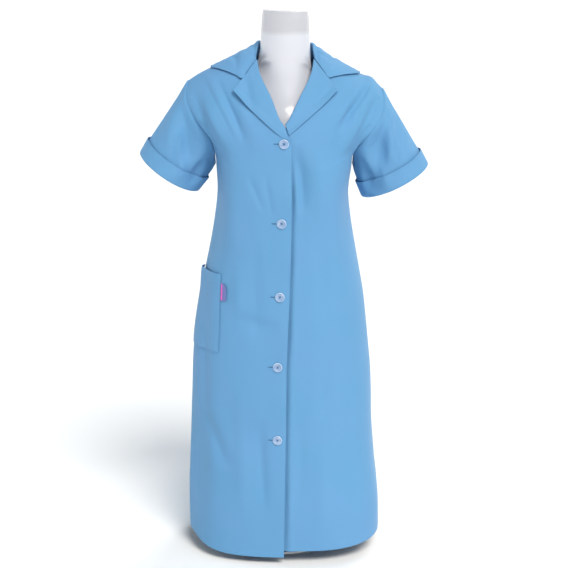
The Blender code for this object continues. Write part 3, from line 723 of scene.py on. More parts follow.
@dataclass
class Wall:
    """The middle surface of a solid cloth wall, read back as rows and columns."""

    node: str
    columns: int
    thick: float
    closed: bool = False
    rows_towards: Size = (0.0, 0.0, 1.0)
    columns_towards: Size = (1.0, 0.0, 0.0)

    def read(self) -> Pair:
        """Read the wall.

        Returns:
            The middle points and the outward normals, by row and column.
        """
        points, faces = merged_mesh(self.node)
        partner = {}
        for face in faces:
            for a, b in zip(face, face[1:] + face[:1]):
                if abs(np.linalg.norm(points[a] - points[b]) - self.thick) < EXACT:
                    partner[a] = b
                    partner[b] = a
        sides = [f for f in faces if not any(partner.get(a) == b for a, b in zip(f, f[1:] + f[:1]))]
        outer, inner = sorted(split_skins(sides, points), key=lambda skin: -skin.facing())
        out, into = (self._walk_ring if self.closed else self._walk_panel)(outer, inner, partner)
        return (out + into) / 2, unit(out - into)

    def _walk_panel(self, outer: Skin, inner: Skin, partner: dict[int, int]) -> Pair:
        """Both skins of a four-cornered panel.

        Args:
            outer: The skin away from the body.
            inner: The other skin.
            partner: The vertex across the wall from each vertex.

        Returns:
            Two grids of points, rows and columns running the stated ways.
        """
        loop = max(outer.loops(), key=len)
        count = len(loop)
        across, up = self.columns - 1, count // 2 - self.columns + 1
        turns = turning(outer.points, loop)
        corners = [0, across, across + up, 2 * across + up]
        start = max(range(count), key=lambda s: sum(turns[(s + c) % count] for c in corners))
        loop = loop[start:] + loop[:start]
        first_row = loop[:across + 1]
        starts = [loop[0]] + loop[:2 * across + up - 1:-1]
        walks = (outer.rows(first_row, starts, up + 1),
                 inner.rows([partner[v] for v in first_row], [partner[v] for v in starts], up + 1))
        out, into = (outer.points[np.array(walk)] for walk in walks)
        if (out[-1] - out[0]).mean(axis=0) @ np.array(self.rows_towards) < 0:
            out, into = out[::-1], into[::-1]
        if (out[:, -1] - out[:, 0]).mean(axis=0) @ np.array(self.columns_towards) < 0:
            out, into = out[:, ::-1], into[:, ::-1]
        return out, into

    def _walk_ring(self, outer: Skin, inner: Skin, partner: dict[int, int]) -> Pair:
        """Both skins of a tube, from the end nearer the body.

        Args:
            outer: The skin outside the tube.
            inner: The other skin.
            partner: The vertex across the wall from each vertex.

        Returns:
            Two grids of points.
        """
        ring = min(outer.loops(), key=lambda loop: abs(outer.points[np.array(loop), 0].mean()))
        top = max(range(len(ring)), key=lambda i: outer.points[ring[i], 2])
        ring = ring[top:] + ring[:top]
        quarter = len(ring) // 4
        if outer.points[ring[quarter], 1] > outer.points[ring[-quarter], 1]:
            ring = ring[:1] + ring[:0:-1]
        count = len({v for face in outer.faces for v in face}) // self.columns
        out = outer.rows(ring, None, count)
        guide = outer.points[np.array([row[0] for row in out])]
        into = inner.rows([partner[v] for v in ring], None, count, guide)
        return outer.points[np.array(out)], outer.points[np.array(into)]


def spline_weights(knots: np.ndarray, at: np.ndarray) -> np.ndarray:
    """The matrix that takes values at the knots to a smooth curve through them.

    Args:
        knots: Rising places of the given values.
        at: Places where the curve is wanted.

    Returns:
        One row of weights for each wanted place.
    """
    last = len(knots) - 1
    slopes = np.zeros((last + 1, last + 1))
    for j in range(last + 1):
        low, high = max(0, j - 1), min(last, j + 1)
        slopes[j, high] += 1 / (knots[high] - knots[low])
        slopes[j, low] -= 1 / (knots[high] - knots[low])
    made = np.zeros((len(at), last + 1))
    for row, place in enumerate(at):
        i = int(np.clip(np.searchsorted(knots, place, side="right") - 1, 0, last - 1))
        span = knots[i + 1] - knots[i]
        t = (place - knots[i]) / span
        made[row, i] += 2 * t**3 - 3 * t**2 + 1
        made[row, i + 1] += 3 * t**2 - 2 * t**3
        made[row] += slopes[i] * span * (t**3 - 2 * t**2 + t)
        made[row] += slopes[i + 1] * span * (t**3 - t**2)
    return made


def lengths(grid: np.ndarray, axis: int) -> np.ndarray:
    """Distance along the lines of a grid.

    Args:
        grid: Points by row and column.
        axis: 0 along the columns, 1 along the rows.

    Returns:
        Each point's distance from the first point of its line.
    """
    steps = np.linalg.norm(np.diff(grid, axis=axis), axis=-1)
    start = np.zeros_like(np.take(steps, [0], axis=axis))
    return np.concatenate([start, np.cumsum(steps, axis=axis)], axis=axis)


def wrapped(ring: np.ndarray) -> np.ndarray:
    """A ring of columns with two more before it and three after it."""
    return np.concatenate([ring[:, -2:], ring, ring[:, :3]], axis=1)


def places(total: float, spacing: float, near_edges: tuple[float, ...]) -> np.ndarray:
    """Places of a grid's lines: close together at both edges, even between them.

    Args:
        total: Length to fill.
        spacing: Wanted distance between the even lines.
        near_edges: Distances of the first lines from an edge.

    Returns:
        Rising places from 0 to the total.
    """
    edge = near_edges[-1]
    middle = np.linspace(edge, total - edge, max(2, round((total - 2 * edge) / spacing)))
    first = np.array(near_edges[:-1])
    return np.concatenate([first, middle, total - first[::-1]])


@dataclass(frozen=True)
class Crease:
    """A soft trough or ridge, drawn as a bent line in x and z on one face of the coat.

    A negative height is a trough. Lean above 0 makes the side to the left of the line's
    direction the gentler one.
    """

    face: Face
    start: Plan
    middle: Plan
    end: Plan
    width: float
    height: float
    lean: float

    def height_at(self, plan: np.ndarray) -> np.ndarray:
        """The crease's height.

        Args:
            plan: Places in x and z.

        Returns:
            One height for each place, fading out towards the line's ends.
        """
        shares = np.linspace(0, 1, 25)[:, None]
        line = ((1 - shares) ** 2 * np.array(self.start) + 2 * shares * (1 - shares) * np.array(self.middle)
                + shares**2 * np.array(self.end))
        gaps = plan[:, None, :] - line[None, :, :]
        nearest = (gaps**2).sum(axis=2).argmin(axis=1)
        gap = gaps[np.arange(len(plan)), nearest]
        along = np.gradient(line, shares[:, 0], axis=0)[nearest]
        run = np.linalg.norm(along, axis=1)
        beside = (along[:, 0] * gap[:, 1] - along[:, 1] * gap[:, 0]) / run
        away = beside / (self.width * (1 + self.lean * np.tanh(beside / self.width)))
        t = shares[nearest, 0] + (gap * along).sum(axis=1) / run**2
        fade = np.sin(np.pi * np.clip(t, 0.0, 1.0)) ** 0.8
        return self.height * np.exp(-away**2) * fade


# One crease a row: start, middle and end as x and z in mm, width and height in tenths of a
# millimetre, lean. The front's rows run from the chest over the skirt to the sleeves.
FRONT_CREASES = (
    (-172, 1095, -136, 1045, -94, 955, 110, 52, 0.6),
    (-146, 1085, -118, 1035, -84, 955, 70, -56, -0.2),
    (-112, 1070, -95, 1020, -60, 960, 100, 16, 0.0),
    (-196, 1060, -182, 1000, -150, 940, 110, -66, 0.2),
    (-180, 975, -158, 945, -120, 905, 80, -44, 0.3),
    (-165, 945, -140, 922, -100, 905, 65, 18, 0.0),
    (194, 1078, 160, 1035, 106, 965, 80, -68, -0.2),
    (176, 1085, 140, 1040, 92, 975, 80, 26, 0.2),
    (204, 1045, 188, 1000, 150, 945, 85, -62, -0.2),
    (190, 985, 172, 950, 135, 905, 90, -52, -0.2),
    (165, 930, 135, 910, 95, 898, 60, 16, 0.0),
    (22, 950, 38, 890, 40, 805, 110, -68, 0.2),
    (66, 940, 74, 880, 76, 800, 150, 28, 0.0),
    (-76, 885, -62, 845, -40, 800, 70, -26, 0.2),
    (-40, 890, -36, 845, -24, 795, 70, -24, 0.0),
    (-158, 920, -154, 810, -150, 680, 130, -60, 0.2),
    (-112, 860, -112, 790, -114, 700, 150, 26, 0.0),
    (150, 880, 134, 800, 136, 700, 150, -20, 0.0),
    (-132, 1168, -114, 1142, -98, 1105, 85, -64, 0.2),
    (-86, 1110, -78, 1060, -64, 1010, 110, -36, 0.0),
    (125, 1155, 105, 1130, 92, 1105, 90, -16, 0.0),
    (-60, 740, -64, 640, -58, 500, 150, -34, 0.1),
    (-100, 700, -98, 620, -100, 540, 130, 36, 0.0),
    (-120, 580, -70, 548, -10, 552, 200, -40, -0.2),
    (85, 760, 78, 650, 90, 540, 180, -22, -0.1),
    (100, 470, 82, 400, 86, 330, 150, -34, 0.0),
    (-176, 760, -182, 400, -184, 30, 130, -60, 0.1),
    (-180, 345, -154, 280, -126, 215, 150, -66, 0.1),
    (-96, 420, -96, 260, -92, 80, 150, 42, 0.0),
    (-52, 340, -50, 240, -44, 120, 120, -52, -0.2),
    (36, 330, 40, 240, 34, 110, 110, -22, 0.2),
    (126, 480, 136, 340, 130, 80, 180, -36, 0.0),
    (82, 280, 88, 160, 84, 50, 150, 28, 0.0),
    (-214, 1035, -216, 950, -200, 850, 170, -100, 0.3),
    (-236, 1020, -256, 965, -248, 900, 100, 34, 0.0),
    (-226, 965, -240, 925, -238, 880, 70, -26, -0.2),
    (-268, 990, -280, 960, -282, 930, 90, -18, 0.0),
    (214, 1040, 212, 950, 196, 830, 200, -130, -0.2),
    (230, 1020, 236, 950, 226, 880, 80, 38, 0.0),
    (246, 995, 252, 940, 246, 885, 65, -36, 0.0),
    (266, 975, 274, 935, 270, 895, 80, 20, 0.0),
)
BACK_CREASES = (
    (-165, 1055, -132, 990, -126, 890, 130, -72, 0.3),
    (160, 1048, 128, 985, 130, 895, 130, -70, -0.3),
    (-95, 1040, -80, 960, -90, 850, 150, 34, 0.0),
    (88, 1035, 80, 965, 82, 870, 150, 30, 0.0),
    (-155, 960, -130, 930, -90, 910, 75, -34, 0.3),
    (154, 965, 130, 930, 94, 915, 75, -34, -0.3),
    (-135, 800, -50, 768, 20, 792, 110, -44, 0.3),
    (130, 775, 70, 744, -10, 756, 110, -40, -0.3),
    (-130, 720, -70, 700, -15, 722, 100, 30, 0.0),
    (-60, 880, -68, 760, -50, 560, 160, -56, 0.2),
    (58, 870, 66, 740, 56, 580, 170, -54, -0.2),
    (5, 640, 14, 450, 4, 150, 180, -78, 0.3),
    (-130, 580, -142, 400, -130, 90, 160, -74, 0.2),
    (132, 600, 142, 420, 132, 110, 170, -70, -0.2),
    (-66, 460, -72, 300, -62, 40, 170, 40, 0.0),
    (70, 440, 66, 280, 74, 40, 170, 38, 0.0),
    (-216, 1010, -228, 960, -222, 890, 100, -40, 0.0),
    (-250, 985, -262, 940, -260, 900, 90, 24, 0.0),
    (216, 1000, 226, 950, 218, 880, 100, -40, 0.0),
    (248, 975, 258, 930, 256, 890, 90, 24, 0.0),
)


def creases(face: Face, rows: tuple[tuple[float, ...], ...]) -> list[Crease]:
    """The creases of one face.

    Args:
        face: The face they are seen on.
        rows: Their table.

    Returns:
        One crease for each row.
    """
    made = []
    for *plan, width, height, lean in rows:
        x0, z0, x1, z1, x2, z2 = (value / 1000 for value in plan)
        made.append(Crease(face, (x0, z0), (x1, z1), (x2, z2), width / 10000, height / 10000, lean))
    return made


@dataclass
class Drape:
    """How the whole coat's cloth departs from its solids: one field for every layer."""

    ripple: float = 0.0007
    ripple_size: float = 0.085
    clear: float = 0.0010
    turned_by: float = 0.45
    creases: list[Crease] = field(default_factory=list)
    form: BVHTree | None = field(default=None, repr=False)

    def __post_init__(self) -> None:
        """Read the creases and the dress form, which the cloth stays clear of."""
        self.creases = creases(Face.FRONT, FRONT_CREASES) + creases(Face.BACK, BACK_CREASES)
        points, faces = merged_mesh("dress_form")
        self.form = BVHTree.FromPolygons(points.tolist(), faces)

    def push(self, points: np.ndarray, normals: np.ndarray, under: float, own: np.ndarray) -> np.ndarray:
        """How far the cloth stands out from its solid.

        Args:
            points: Places on the cloth's middle surface.
            normals: Outward normals there.
            under: Thickness of the layers that lie between this one and the dress form.
            own: The piece's own push at each point.

        Returns:
            One distance for each point, negative inward.
        """
        total = own.copy()
        for crease in self.creases:
            towards = smooth(0.0, self.turned_by, normals[:, 1] * crease.face.value)
            total += crease.height_at(points[:, (0, 2)]) * towards
        total += self.ripple * np.array([noise.noise(Vector(p) / self.ripple_size) for p in points])
        room = np.array([self.form.find_nearest(Vector(p))[3] for p in points])
        return np.maximum(total, -np.maximum(room - self.clear - under, 0.0))


def shell_mesh(name: str, outer: np.ndarray, inner: np.ndarray, cloth: np.ndarray, closed: bool,
               finish: bpy.types.Material) -> bpy.types.Object:
    """A closed thin shell between two grids of points.

    Args:
        name: Name of the piece.
        outer: Outer points by row and column.
        inner: Inner points by row and column.
        cloth: Place of each point on the flat cloth, in metres.
        closed: Whether the last column meets the first.
        finish: The shell's material.

    Returns:
        The new object, at the origin.
    """
    rows, columns = outer.shape[:2]
    depth = rows * columns
    index = np.arange(depth).reshape(rows, columns)
    if closed:
        index = np.concatenate([index, index[:, :1]], axis=1)
        round_trip = np.array((cloth[0, -1, 0] + cloth[0, 1, 0], 0.0))
        cloth = np.concatenate([cloth, cloth[:, :1] + round_trip], axis=1)
    flat = np.arange(index.size).reshape(index.shape)
    quads, marks = [], []
    for grid, made, step in ((index, quads, depth), (flat, marks, 0)):
        a, b, d, c = (grid[part].ravel() for part in (
            np.s_[:-1, :-1], np.s_[:-1, 1:], np.s_[1:, :-1], np.s_[1:, 1:]))
        made += [np.stack([a, b, c, d], axis=1), np.stack([d, c, b, a], axis=1) + step]
        rims = [grid[0], grid[-1, ::-1]]
        if not closed:
            rims += [grid[::-1, 0], grid[:, -1]]
        made += [np.stack([line[1:], line[:-1], line[:-1] + step, line[1:] + step], axis=1) for line in rims]
    points = np.concatenate([outer.reshape(-1, 3), inner.reshape(-1, 3)])
    mesh = bpy.data.meshes.new(name)
    mesh.from_pydata(points.tolist(), [], np.concatenate(quads).tolist())
    layer = mesh.uv_layers.new(name=UV_NAME)
    corners = np.concatenate(marks).ravel()
    layer.data.foreach_set("uv", cloth.reshape(-1, 2)[corners].astype(np.float32).ravel())
    mesh.materials.append(finish)
    mesh.shade_smooth()
    return add_object(name, mesh)


def tucked(grid: np.ndarray, facing: np.ndarray, back: float, down: float, last: bool) -> Pair:
    """A grid with a narrow seam allowance added, which dips under its neighbour.

    Args:
        grid: Points by row and column.
        facing: The normals there.
        back: How far the allowance runs on.
        down: How far it dips.
        last: Whether it is added to the last row, not to the first.

    Returns:
        The longer grid and its normals.
    """
    if last:
        grid, facing = grid[::-1], facing[::-1]
    added = grid[0] + unit(grid[0] - grid[1]) * back - facing[0] * down
    made, ways = np.concatenate([added[None], grid]), np.concatenate([facing[:1], facing])
    return (made[::-1], ways[::-1]) if last else (made, ways)


def grid_normals(grid: np.ndarray, closed: bool) -> np.ndarray:
    """Unit normals of a grid, from the lines on both sides of each point.

    Args:
        grid: Points by row and column.
        closed: Whether the last column meets the first.

    Returns:
        One normal for each point.
    """
    up = np.gradient(grid, axis=0)
    if closed:
        across = (np.roll(grid, -1, axis=1) - np.roll(grid, 1, axis=1)) / 2
    else:
        across = np.gradient(grid, axis=1)
    return unit(np.cross(across, up))


@dataclass
class StitchLine:
    """A run of sewing: places on the cloth and the way each faces."""

    points: np.ndarray
    facing: np.ndarray


@dataclass
class ClothPiece:
    """One sewn piece of the coat, grown from its solid wall."""

    wall: Wall
    flat: Plan
    area: float
    held: str
    rests_on: str
    slot: str = COAT_SLOT
    under: float = 0.0
    tuck: tuple[Edge, float, float] | None = None
    spacing: float = 0.0036
    near_edges: tuple[float, ...] = (0.0, 0.0003, 0.0010, 0.0022)
    outward: float = 0.0006
    inward: float = 0.0001
    least_rounding: float = 0.04
    hem: Edge | None = None
    hem_width: float = 0.020
    hem_relief: float = 0.00030
    groove: float = 0.00035
    groove_half: float = 0.0013
    stitched: tuple[tuple[Edge, float], ...] = ()
    stitch_margin: float = 0.003
    settled: tuple[Edge, ...] = ()
    settles_over: float = 0.018
    flipped: bool = False
    grid: np.ndarray | None = field(default=None, repr=False)
    normals: np.ndarray | None = field(default=None, repr=False)
    rises: np.ndarray | None = field(default=None, repr=False)
    reaches: np.ndarray | None = field(default=None, repr=False)

    def refine(self, drape: Drape) -> None:
        """Work out the fine grid, with the drape's creases pushed into it.

        Args:
            drape: The creases.
        """
        middle, facing = self.wall.read()
        if self.tuck:
            edge, back, down = self.tuck
            middle, facing = tucked(middle, facing, back, down, edge is Edge.LAST_ROW)
        up = lengths(middle, 0).mean(axis=1)
        if self.wall.closed:
            middle = wrapped(middle)
        across = lengths(middle, 1).mean(axis=0)
        rows = places(up[-1], self.spacing, self.near_edges)
        if self.wall.closed:
            low, high = across[2], across[-3]
            columns = np.linspace(low, high, round((high - low) / self.spacing), endpoint=False)
        else:
            columns = places(across[-1], self.spacing, self.near_edges)
        grid = np.einsum("ri,ijk,cj->rck", spline_weights(up, rows), middle, spline_weights(across, columns))
        normals = grid_normals(grid, self.wall.closed)
        against = (normals[len(rows) // 2].mean(axis=0) @ facing[len(up) // 2].mean(axis=0)) < 0
        inward = float(((grid - grid.mean(axis=1, keepdims=True)) * normals).sum()) < 0
        if against or (self.wall.closed and inward):
            grid, normals = grid[:, ::-1], -normals[:, ::-1]
            self.flipped = True
        height = drape.push(grid.reshape(-1, 3), normals.reshape(-1, 3), self.under, self.extra(grid).ravel())
        height = height.reshape(grid.shape[:2])
        for edge in self.settled:
            height = height * smooth(0.0, self.settles_over, self.shares(grid, edge))
        grid = grid + normals * height[..., None]
        self.rises, self.reaches = lengths(grid, 0), lengths(grid, 1)
        self.grid = self.shaped(grid)
        self.normals = grid_normals(self.grid, self.wall.closed)

    def extra(self, grid: np.ndarray) -> np.ndarray:
        """Further outward push of this piece alone."""
        return np.zeros(grid.shape[:2])

    def shaped(self, grid: np.ndarray) -> np.ndarray:
        """The grid with this piece's own cut."""
        return grid

    def _run(self, edge: Edge, rises: np.ndarray, reaches: np.ndarray) -> np.ndarray:
        """Distance of each point from an edge, along the cloth.

        Args:
            edge: The edge.
            rises: Distance of each point from the first row.
            reaches: Distance of each point from the grid's first column.

        Returns:
            The distance, by row and column.
        """
        if edge in (Edge.FIRST_ROW, Edge.LAST_ROW):
            return rises if edge is Edge.FIRST_ROW else rises[-1] - rises
        first = (edge is Edge.FIRST_COLUMN) != self.flipped
        return reaches if first else reaches[:, -1:] - reaches

    def shares(self, grid: np.ndarray, edge: Edge) -> np.ndarray:
        """Distance of each point of a raw grid from an edge."""
        return self._run(edge, lengths(grid, 0), lengths(grid, 1))

    def from_edge(self, edge: Edge) -> np.ndarray:
        """Distance of each point of the finished grid from an edge."""
        return self._run(edge, self.rises, self.reaches)

    def edges(self) -> tuple[Edge, ...]:
        """The piece's free edges."""
        ends = (Edge.FIRST_ROW, Edge.LAST_ROW)
        return ends if self.wall.closed else ends + (Edge.FIRST_COLUMN, Edge.LAST_COLUMN)

    def shell(self, finish: bpy.types.Material) -> None:
        """Args:
            finish: The cloth's material.
        """
        radius = (self.outward + self.inward) / 2
        middle = (self.outward - self.inward) / 2
        rounding = np.ones(self.grid.shape[:2])
        relief = np.zeros(self.grid.shape[:2])
        for edge in self.edges():
            near = np.clip(self.from_edge(edge) / radius, 0.0, 1.0)
            rounding = np.minimum(rounding, np.sqrt(np.maximum(1 - (1 - near) ** 2, self.least_rounding)))
        if self.hem:
            away = self.from_edge(self.hem) - self.hem_width
            relief += self.hem_relief * (1 - smooth(-0.001, 0.002, away))
        for edge, inset in self.stitched:
            relief -= self.groove * bell(self.from_edge(edge) - inset, self.groove_half)
        outer = self.grid + self.normals * (middle + radius * rounding + relief)[..., None]
        inner = self.grid + self.normals * (middle - radius * rounding)[..., None]
        cloth = np.stack([self.reaches, self.rises], axis=2)
        node = self.wall.node
        made = shell_mesh(f"{node}_cloth", outer, inner, cloth, self.wall.closed, finish)
        on_body(made, node)
        LOG.info("%s: %d by %d points, cloth of %.4f square metres", made.name, *self.grid.shape[:2],
                 self.size())

    def size(self) -> float:
        """The middle surface's area.

        Returns:
            Square metres.
        """
        across = np.diff(self.grid, axis=1)[:-1]
        up = np.diff(self.grid, axis=0)[:, :-1]
        return float(np.linalg.norm(np.cross(across, up), axis=2).sum())

    def line_at(self, edge: Edge, inset: float) -> StitchLine:
        """A line that runs along an edge at a distance inside it.

        Args:
            edge: The edge.
            inset: Distance from the edge, along the cloth.

        Returns:
            Places just above the cloth, with their normals.
        """
        away = self.from_edge(edge)
        points, facing = self.grid, self.normals
        if edge in (Edge.FIRST_COLUMN, Edge.LAST_COLUMN):
            away, points, facing = away.T, points.swapaxes(0, 1), facing.swapaxes(0, 1)
        if away[0, 0] > away[-1, 0]:
            away, points, facing = away[::-1], points[::-1], facing[::-1]
        made, ways = [], []
        for j in range(away.shape[1]):
            i = int(np.clip(np.searchsorted(away[:, j], inset), 1, len(away) - 1))
            share = (inset - away[i - 1, j]) / (away[i, j] - away[i - 1, j])
            made.append(points[i - 1, j] * (1 - share) + points[i, j] * share)
            ways.append(facing[i - 1, j])
        line, ways = np.array(made), np.array(ways)
        run = np.concatenate([[0.0], np.cumsum(np.linalg.norm(np.diff(line, axis=0), axis=1))])
        keep = (run >= self.stitch_margin) & (run <= run[-1] - self.stitch_margin)
        line, ways = line[keep], ways[keep]
        if self.wall.closed:
            line, ways = np.concatenate([line, line[:1]]), np.concatenate([ways, ways[:1]])
        return StitchLine(line + ways * (self.outward - self.groove * 0.4), ways)

    def sewing(self) -> list[StitchLine]:
        """Every run of sewing that shows on the piece."""
        return [self.line_at(edge, inset) for edge, inset in self.stitched]


@dataclass
class TopFront(ClothPiece):
    """The wearer's right front, which lies on top: its edge lifts a little between buttons."""

    lifts: tuple[Size, ...] = (
        (0.838, 0.034, 0.0044), (0.520, 0.044, 0.0044), (0.700, 0.034, 0.0030), (0.380, 0.045, 0.0030),
        (0.140, 0.080, 0.0030),
    )
    base_lift: float = 0.0022
    reach: float = 0.050

    def extra(self, grid: np.ndarray) -> np.ndarray:
        """The edge's lift.

        Args:
            grid: The raw grid.

        Returns:
            The outward push by row and column.
        """
        total = np.full(grid.shape[:2], self.base_lift)
        for height, half, lift in self.lifts:
            total += lift * bell(grid[..., 2] - height, half)
        return total * (1 - smooth(0.0, self.reach, self.shares(grid, Edge.FIRST_COLUMN)))


@dataclass
class UnderFront(ClothPiece):
    """The wearer's left front: a valley beside the top front's edge, a swelling beyond it."""

    swells: tuple[Size, ...] = (
        (0.842, 0.050, 0.0040), (0.700, 0.050, 0.0016), (0.550, 0.080, 0.0030), (0.330, 0.110, 0.0020),
        (0.110, 0.110, 0.0028),
    )
    beyond: float = 0.0120
    width: float = 0.0065
    valley: float = 0.0042
    valley_width: float = 0.0046
    valley_top: Plan = (0.95, 0.90)
    top_edge: tuple[Plan, ...] = (
        (0.02, 0.0010), (0.29, 0.0035), (0.46, 0.0055), (0.62, 0.0125), (0.80, 0.0170), (0.94, 0.0165),
    )

    def extra(self, grid: np.ndarray) -> np.ndarray:
        """The valley and the swelling.

        Args:
            grid: The raw grid.

        Returns:
            The outward push by row and column.
        """
        height = grid[..., 2]
        away = grid[..., 0] - np.interp(height, *zip(*self.top_edge))
        total = sum(lift * bell(height - middle, half) for middle, half, lift in self.swells)
        swell = total * bell(away - self.beyond, self.width)
        valley = self.valley * bell(away, self.valley_width) * smooth(*self.valley_top, height)
        return (swell - valley) * (grid[..., 1] < 0)


@dataclass
class Lapel(ClothPiece):
    """A turned-back lapel whose free edge stands off a little, most at its tip."""

    lift: float = 0.0020
    tip: float = 0.0030
    tip_at: float = 0.012
    tip_half: float = 0.030
    reach: float = 0.018
    low_end: Plan = (0.004, 0.040)

    def extra(self, grid: np.ndarray) -> np.ndarray:
        """The free edge's lift, less at the gorge and where the lapel ends.

        Args:
            grid: The raw grid.

        Returns:
            The outward push by row and column.
        """
        near = 1 - smooth(0.0, self.reach, self.shares(grid, Edge.LAST_COLUMN))
        low, high = self.shares(grid, Edge.FIRST_ROW), self.shares(grid, Edge.LAST_ROW)
        tip = bell(high - self.tip_at, self.tip_half)
        return near * (self.lift + self.tip * tip) * smooth(*self.low_end, low)


@dataclass
class Collar(ClothPiece):
    """The collar, whose front ends run straight from the notch to the tip."""

    fill: float = 0.0066
    notch: float = 0.52
    reach: float = 0.045

    def shaped(self, grid: np.ndarray) -> np.ndarray:
        """Let both ends out where they would curve inward.

        Args:
            grid: The grid with its creases.

        Returns:
            The same grid, changed.
        """
        for rows in (grid, grid[::-1]):
            along = lengths(rows[:1], 1)[0]
            share = (along if self.flipped else along[-1] - along) / along[-1]
            bulge = np.sin(np.pi * np.clip(share / self.notch, 0.0, 1.0)) * self.fill
            near = 1 - smooth(0.0, self.reach, lengths(rows, 0))
            rows += unit(rows[0] - rows[2])[None] * (near * bulge)[..., None]
        return grid


@dataclass
class Pocket(ClothPiece):
    """A patch pocket whose mouth gapes at the side and whose bottom lies close."""

    gape: float = 0.0052
    widest: float = 0.016
    fades_by: float = 0.85
    reach: float = 0.060
    seam: float = 0.010
    press: float = 0.0004
    pressed: float = 0.012

    def extra(self, grid: np.ndarray) -> np.ndarray:
        """The mouth's gape near its outer corner, and the pressed bottom.

        Args:
            grid: The raw grid.

        Returns:
            The outward push by row and column.
        """
        bottom, mouth, inside, beyond = (self.shares(grid, edge) for edge in (
            Edge.FIRST_ROW, Edge.LAST_ROW, Edge.FIRST_COLUMN, Edge.LAST_COLUMN))
        fade = 1 - self.fades_by * smooth(self.widest, self.reach, beyond)
        across = smooth(0.0, self.widest, beyond) * fade * smooth(0.0, self.seam, inside)
        gape = self.gape * (1 - smooth(0.0, self.reach, mouth)) * across
        return gape - self.press * (1 - smooth(0.0, self.pressed, bottom))


@dataclass
class Tab(ClothPiece):
    """The folded ribbon in the pocket's seam: its free corners are rounded."""

    top: Plan = (0.45, 0.012)
    bottom: Plan = (0.80, 0.006)

    def shaped(self, grid: np.ndarray) -> np.ndarray:
        """Narrow the tab towards both ends.

        Args:
            grid: The grid with its creases.

        Returns:
            The narrowed grid.
        """
        widths = 1.0
        for (share, run), edge in ((self.top, Edge.LAST_ROW), (self.bottom, Edge.FIRST_ROW)):
            near = np.clip(1 - self.shares(grid, edge) / run, 0.0, 1.0)
            widths = widths * (share + (1 - share) * np.sqrt(1 - near**2))
        seam = grid[:, -1:] if self.flipped else grid[:, :1]
        return seam + (grid - seam) * widths[..., None]


def stitch_tree() -> bpy.types.GeometryNodeTree:
    """Geometry nodes that lay small thread lumps along lines.

    Returns:
        The tree, with inputs for the pitch, the size of one stitch and its material.
    """
    tree = bpy.data.node_groups.new("sewing", "GeometryNodeTree")
    kinds = {"Geometry": "Geometry", "Pitch": "Float", "Stitch": "Vector", "Thread": "Material"}
    for name, kind in kinds.items():
        tree.interface.new_socket(name, in_out="INPUT", socket_type=f"NodeSocket{kind}")
    tree.interface.new_socket("Geometry", in_out="OUTPUT", socket_type="NodeSocketGeometry")
    graph = Graph(tree)
    given = tree.nodes.new("NodeGroupInput")
    lines, pitch, size, thread = (Link(graph, given.outputs[i]) for i in range(4))
    curve = graph.node("GeometryNodeMeshToCurve", None, {"Mesh": lines})
    spaced = graph.node("GeometryNodeResampleCurve", {"mode": "LENGTH"}, {"Curve": curve, "Length": pitch})
    tangent = graph.node("GeometryNodeInputTangent")
    facing = graph.node("GeometryNodeInputNamedAttribute", {"data_type": "FLOAT_VECTOR"}, {"Name": "facing"})
    along = graph.node("FunctionNodeAlignRotationToVector", {"axis": "X"}, {"Vector": tangent})
    turned = graph.node("FunctionNodeAlignRotationToVector", {"axis": "Z", "pivot_axis": "X"},
                        {"Rotation": along, "Vector": facing})
    lump = graph.node("GeometryNodeMeshUVSphere", None, {"Segments": 8, "Rings": 5, "Radius": 1.0})
    laid = graph.node("GeometryNodeInstanceOnPoints", None,
                      {"Points": spaced, "Instance": lump, "Rotation": turned, "Scale": size})
    real = graph.node("GeometryNodeRealizeInstances", None, {"Geometry": laid})
    soft = graph.node("GeometryNodeSetShadeSmooth", None, {"Geometry": real})
    done = graph.node("GeometryNodeSetMaterial", None, {"Geometry": soft, "Material": thread})
    graph.feed(tree.nodes.new("NodeGroupOutput"), {0: done})
    return tree


@dataclass
class Sewing:
    """Threads laid by geometry nodes along lines on the cloth."""

    tree: bpy.types.GeometryNodeTree
    thread: bpy.types.Material

    def lay(self, name: str, lines: list[StitchLine], pitch: float, stitch: Size) -> None:
        """Sew along lines, as one plain mesh that rides on the body.

        Args:
            name: Name of the new piece.
            lines: Where to sew.
            pitch: Distance from stitch to stitch.
            stitch: Half sizes of one stitch: along the line, across it and outward.
        """
        points, ways, edges = [], [], []
        for line in lines:
            start = len(points)
            points += line.points.tolist()
            ways += line.facing.tolist()
            edges += [(start + i, start + i + 1) for i in range(len(line.points) - 1)]
        mesh = bpy.data.meshes.new(name)
        mesh.from_pydata(points, edges, [])
        facing = mesh.attributes.new("facing", "FLOAT_VECTOR", "POINT")
        facing.data.foreach_set("vector", np.array(ways, np.float32).ravel())
        guide = add_object(f"{name}_guide", mesh)
        laid = guide.modifiers.new("sewing", "NODES")
        laid.node_group = self.tree
        sockets = {s.name: s.identifier for s in self.tree.interface.items_tree if s.in_out == "INPUT"}
        for socket, value in (("Pitch", pitch), ("Stitch", stitch), ("Thread", self.thread)):
            laid[sockets[socket]] = value
        ready = guide.evaluated_get(bpy.context.evaluated_depsgraph_get())
        plain = bpy.data.meshes.new_from_object(ready)
        bpy.data.objects.remove(guide)
        on_body(add_object(name, plain))
        LOG.info("%s: %d triangles", name, sum(len(p.vertices) - 2 for p in plain.polygons))


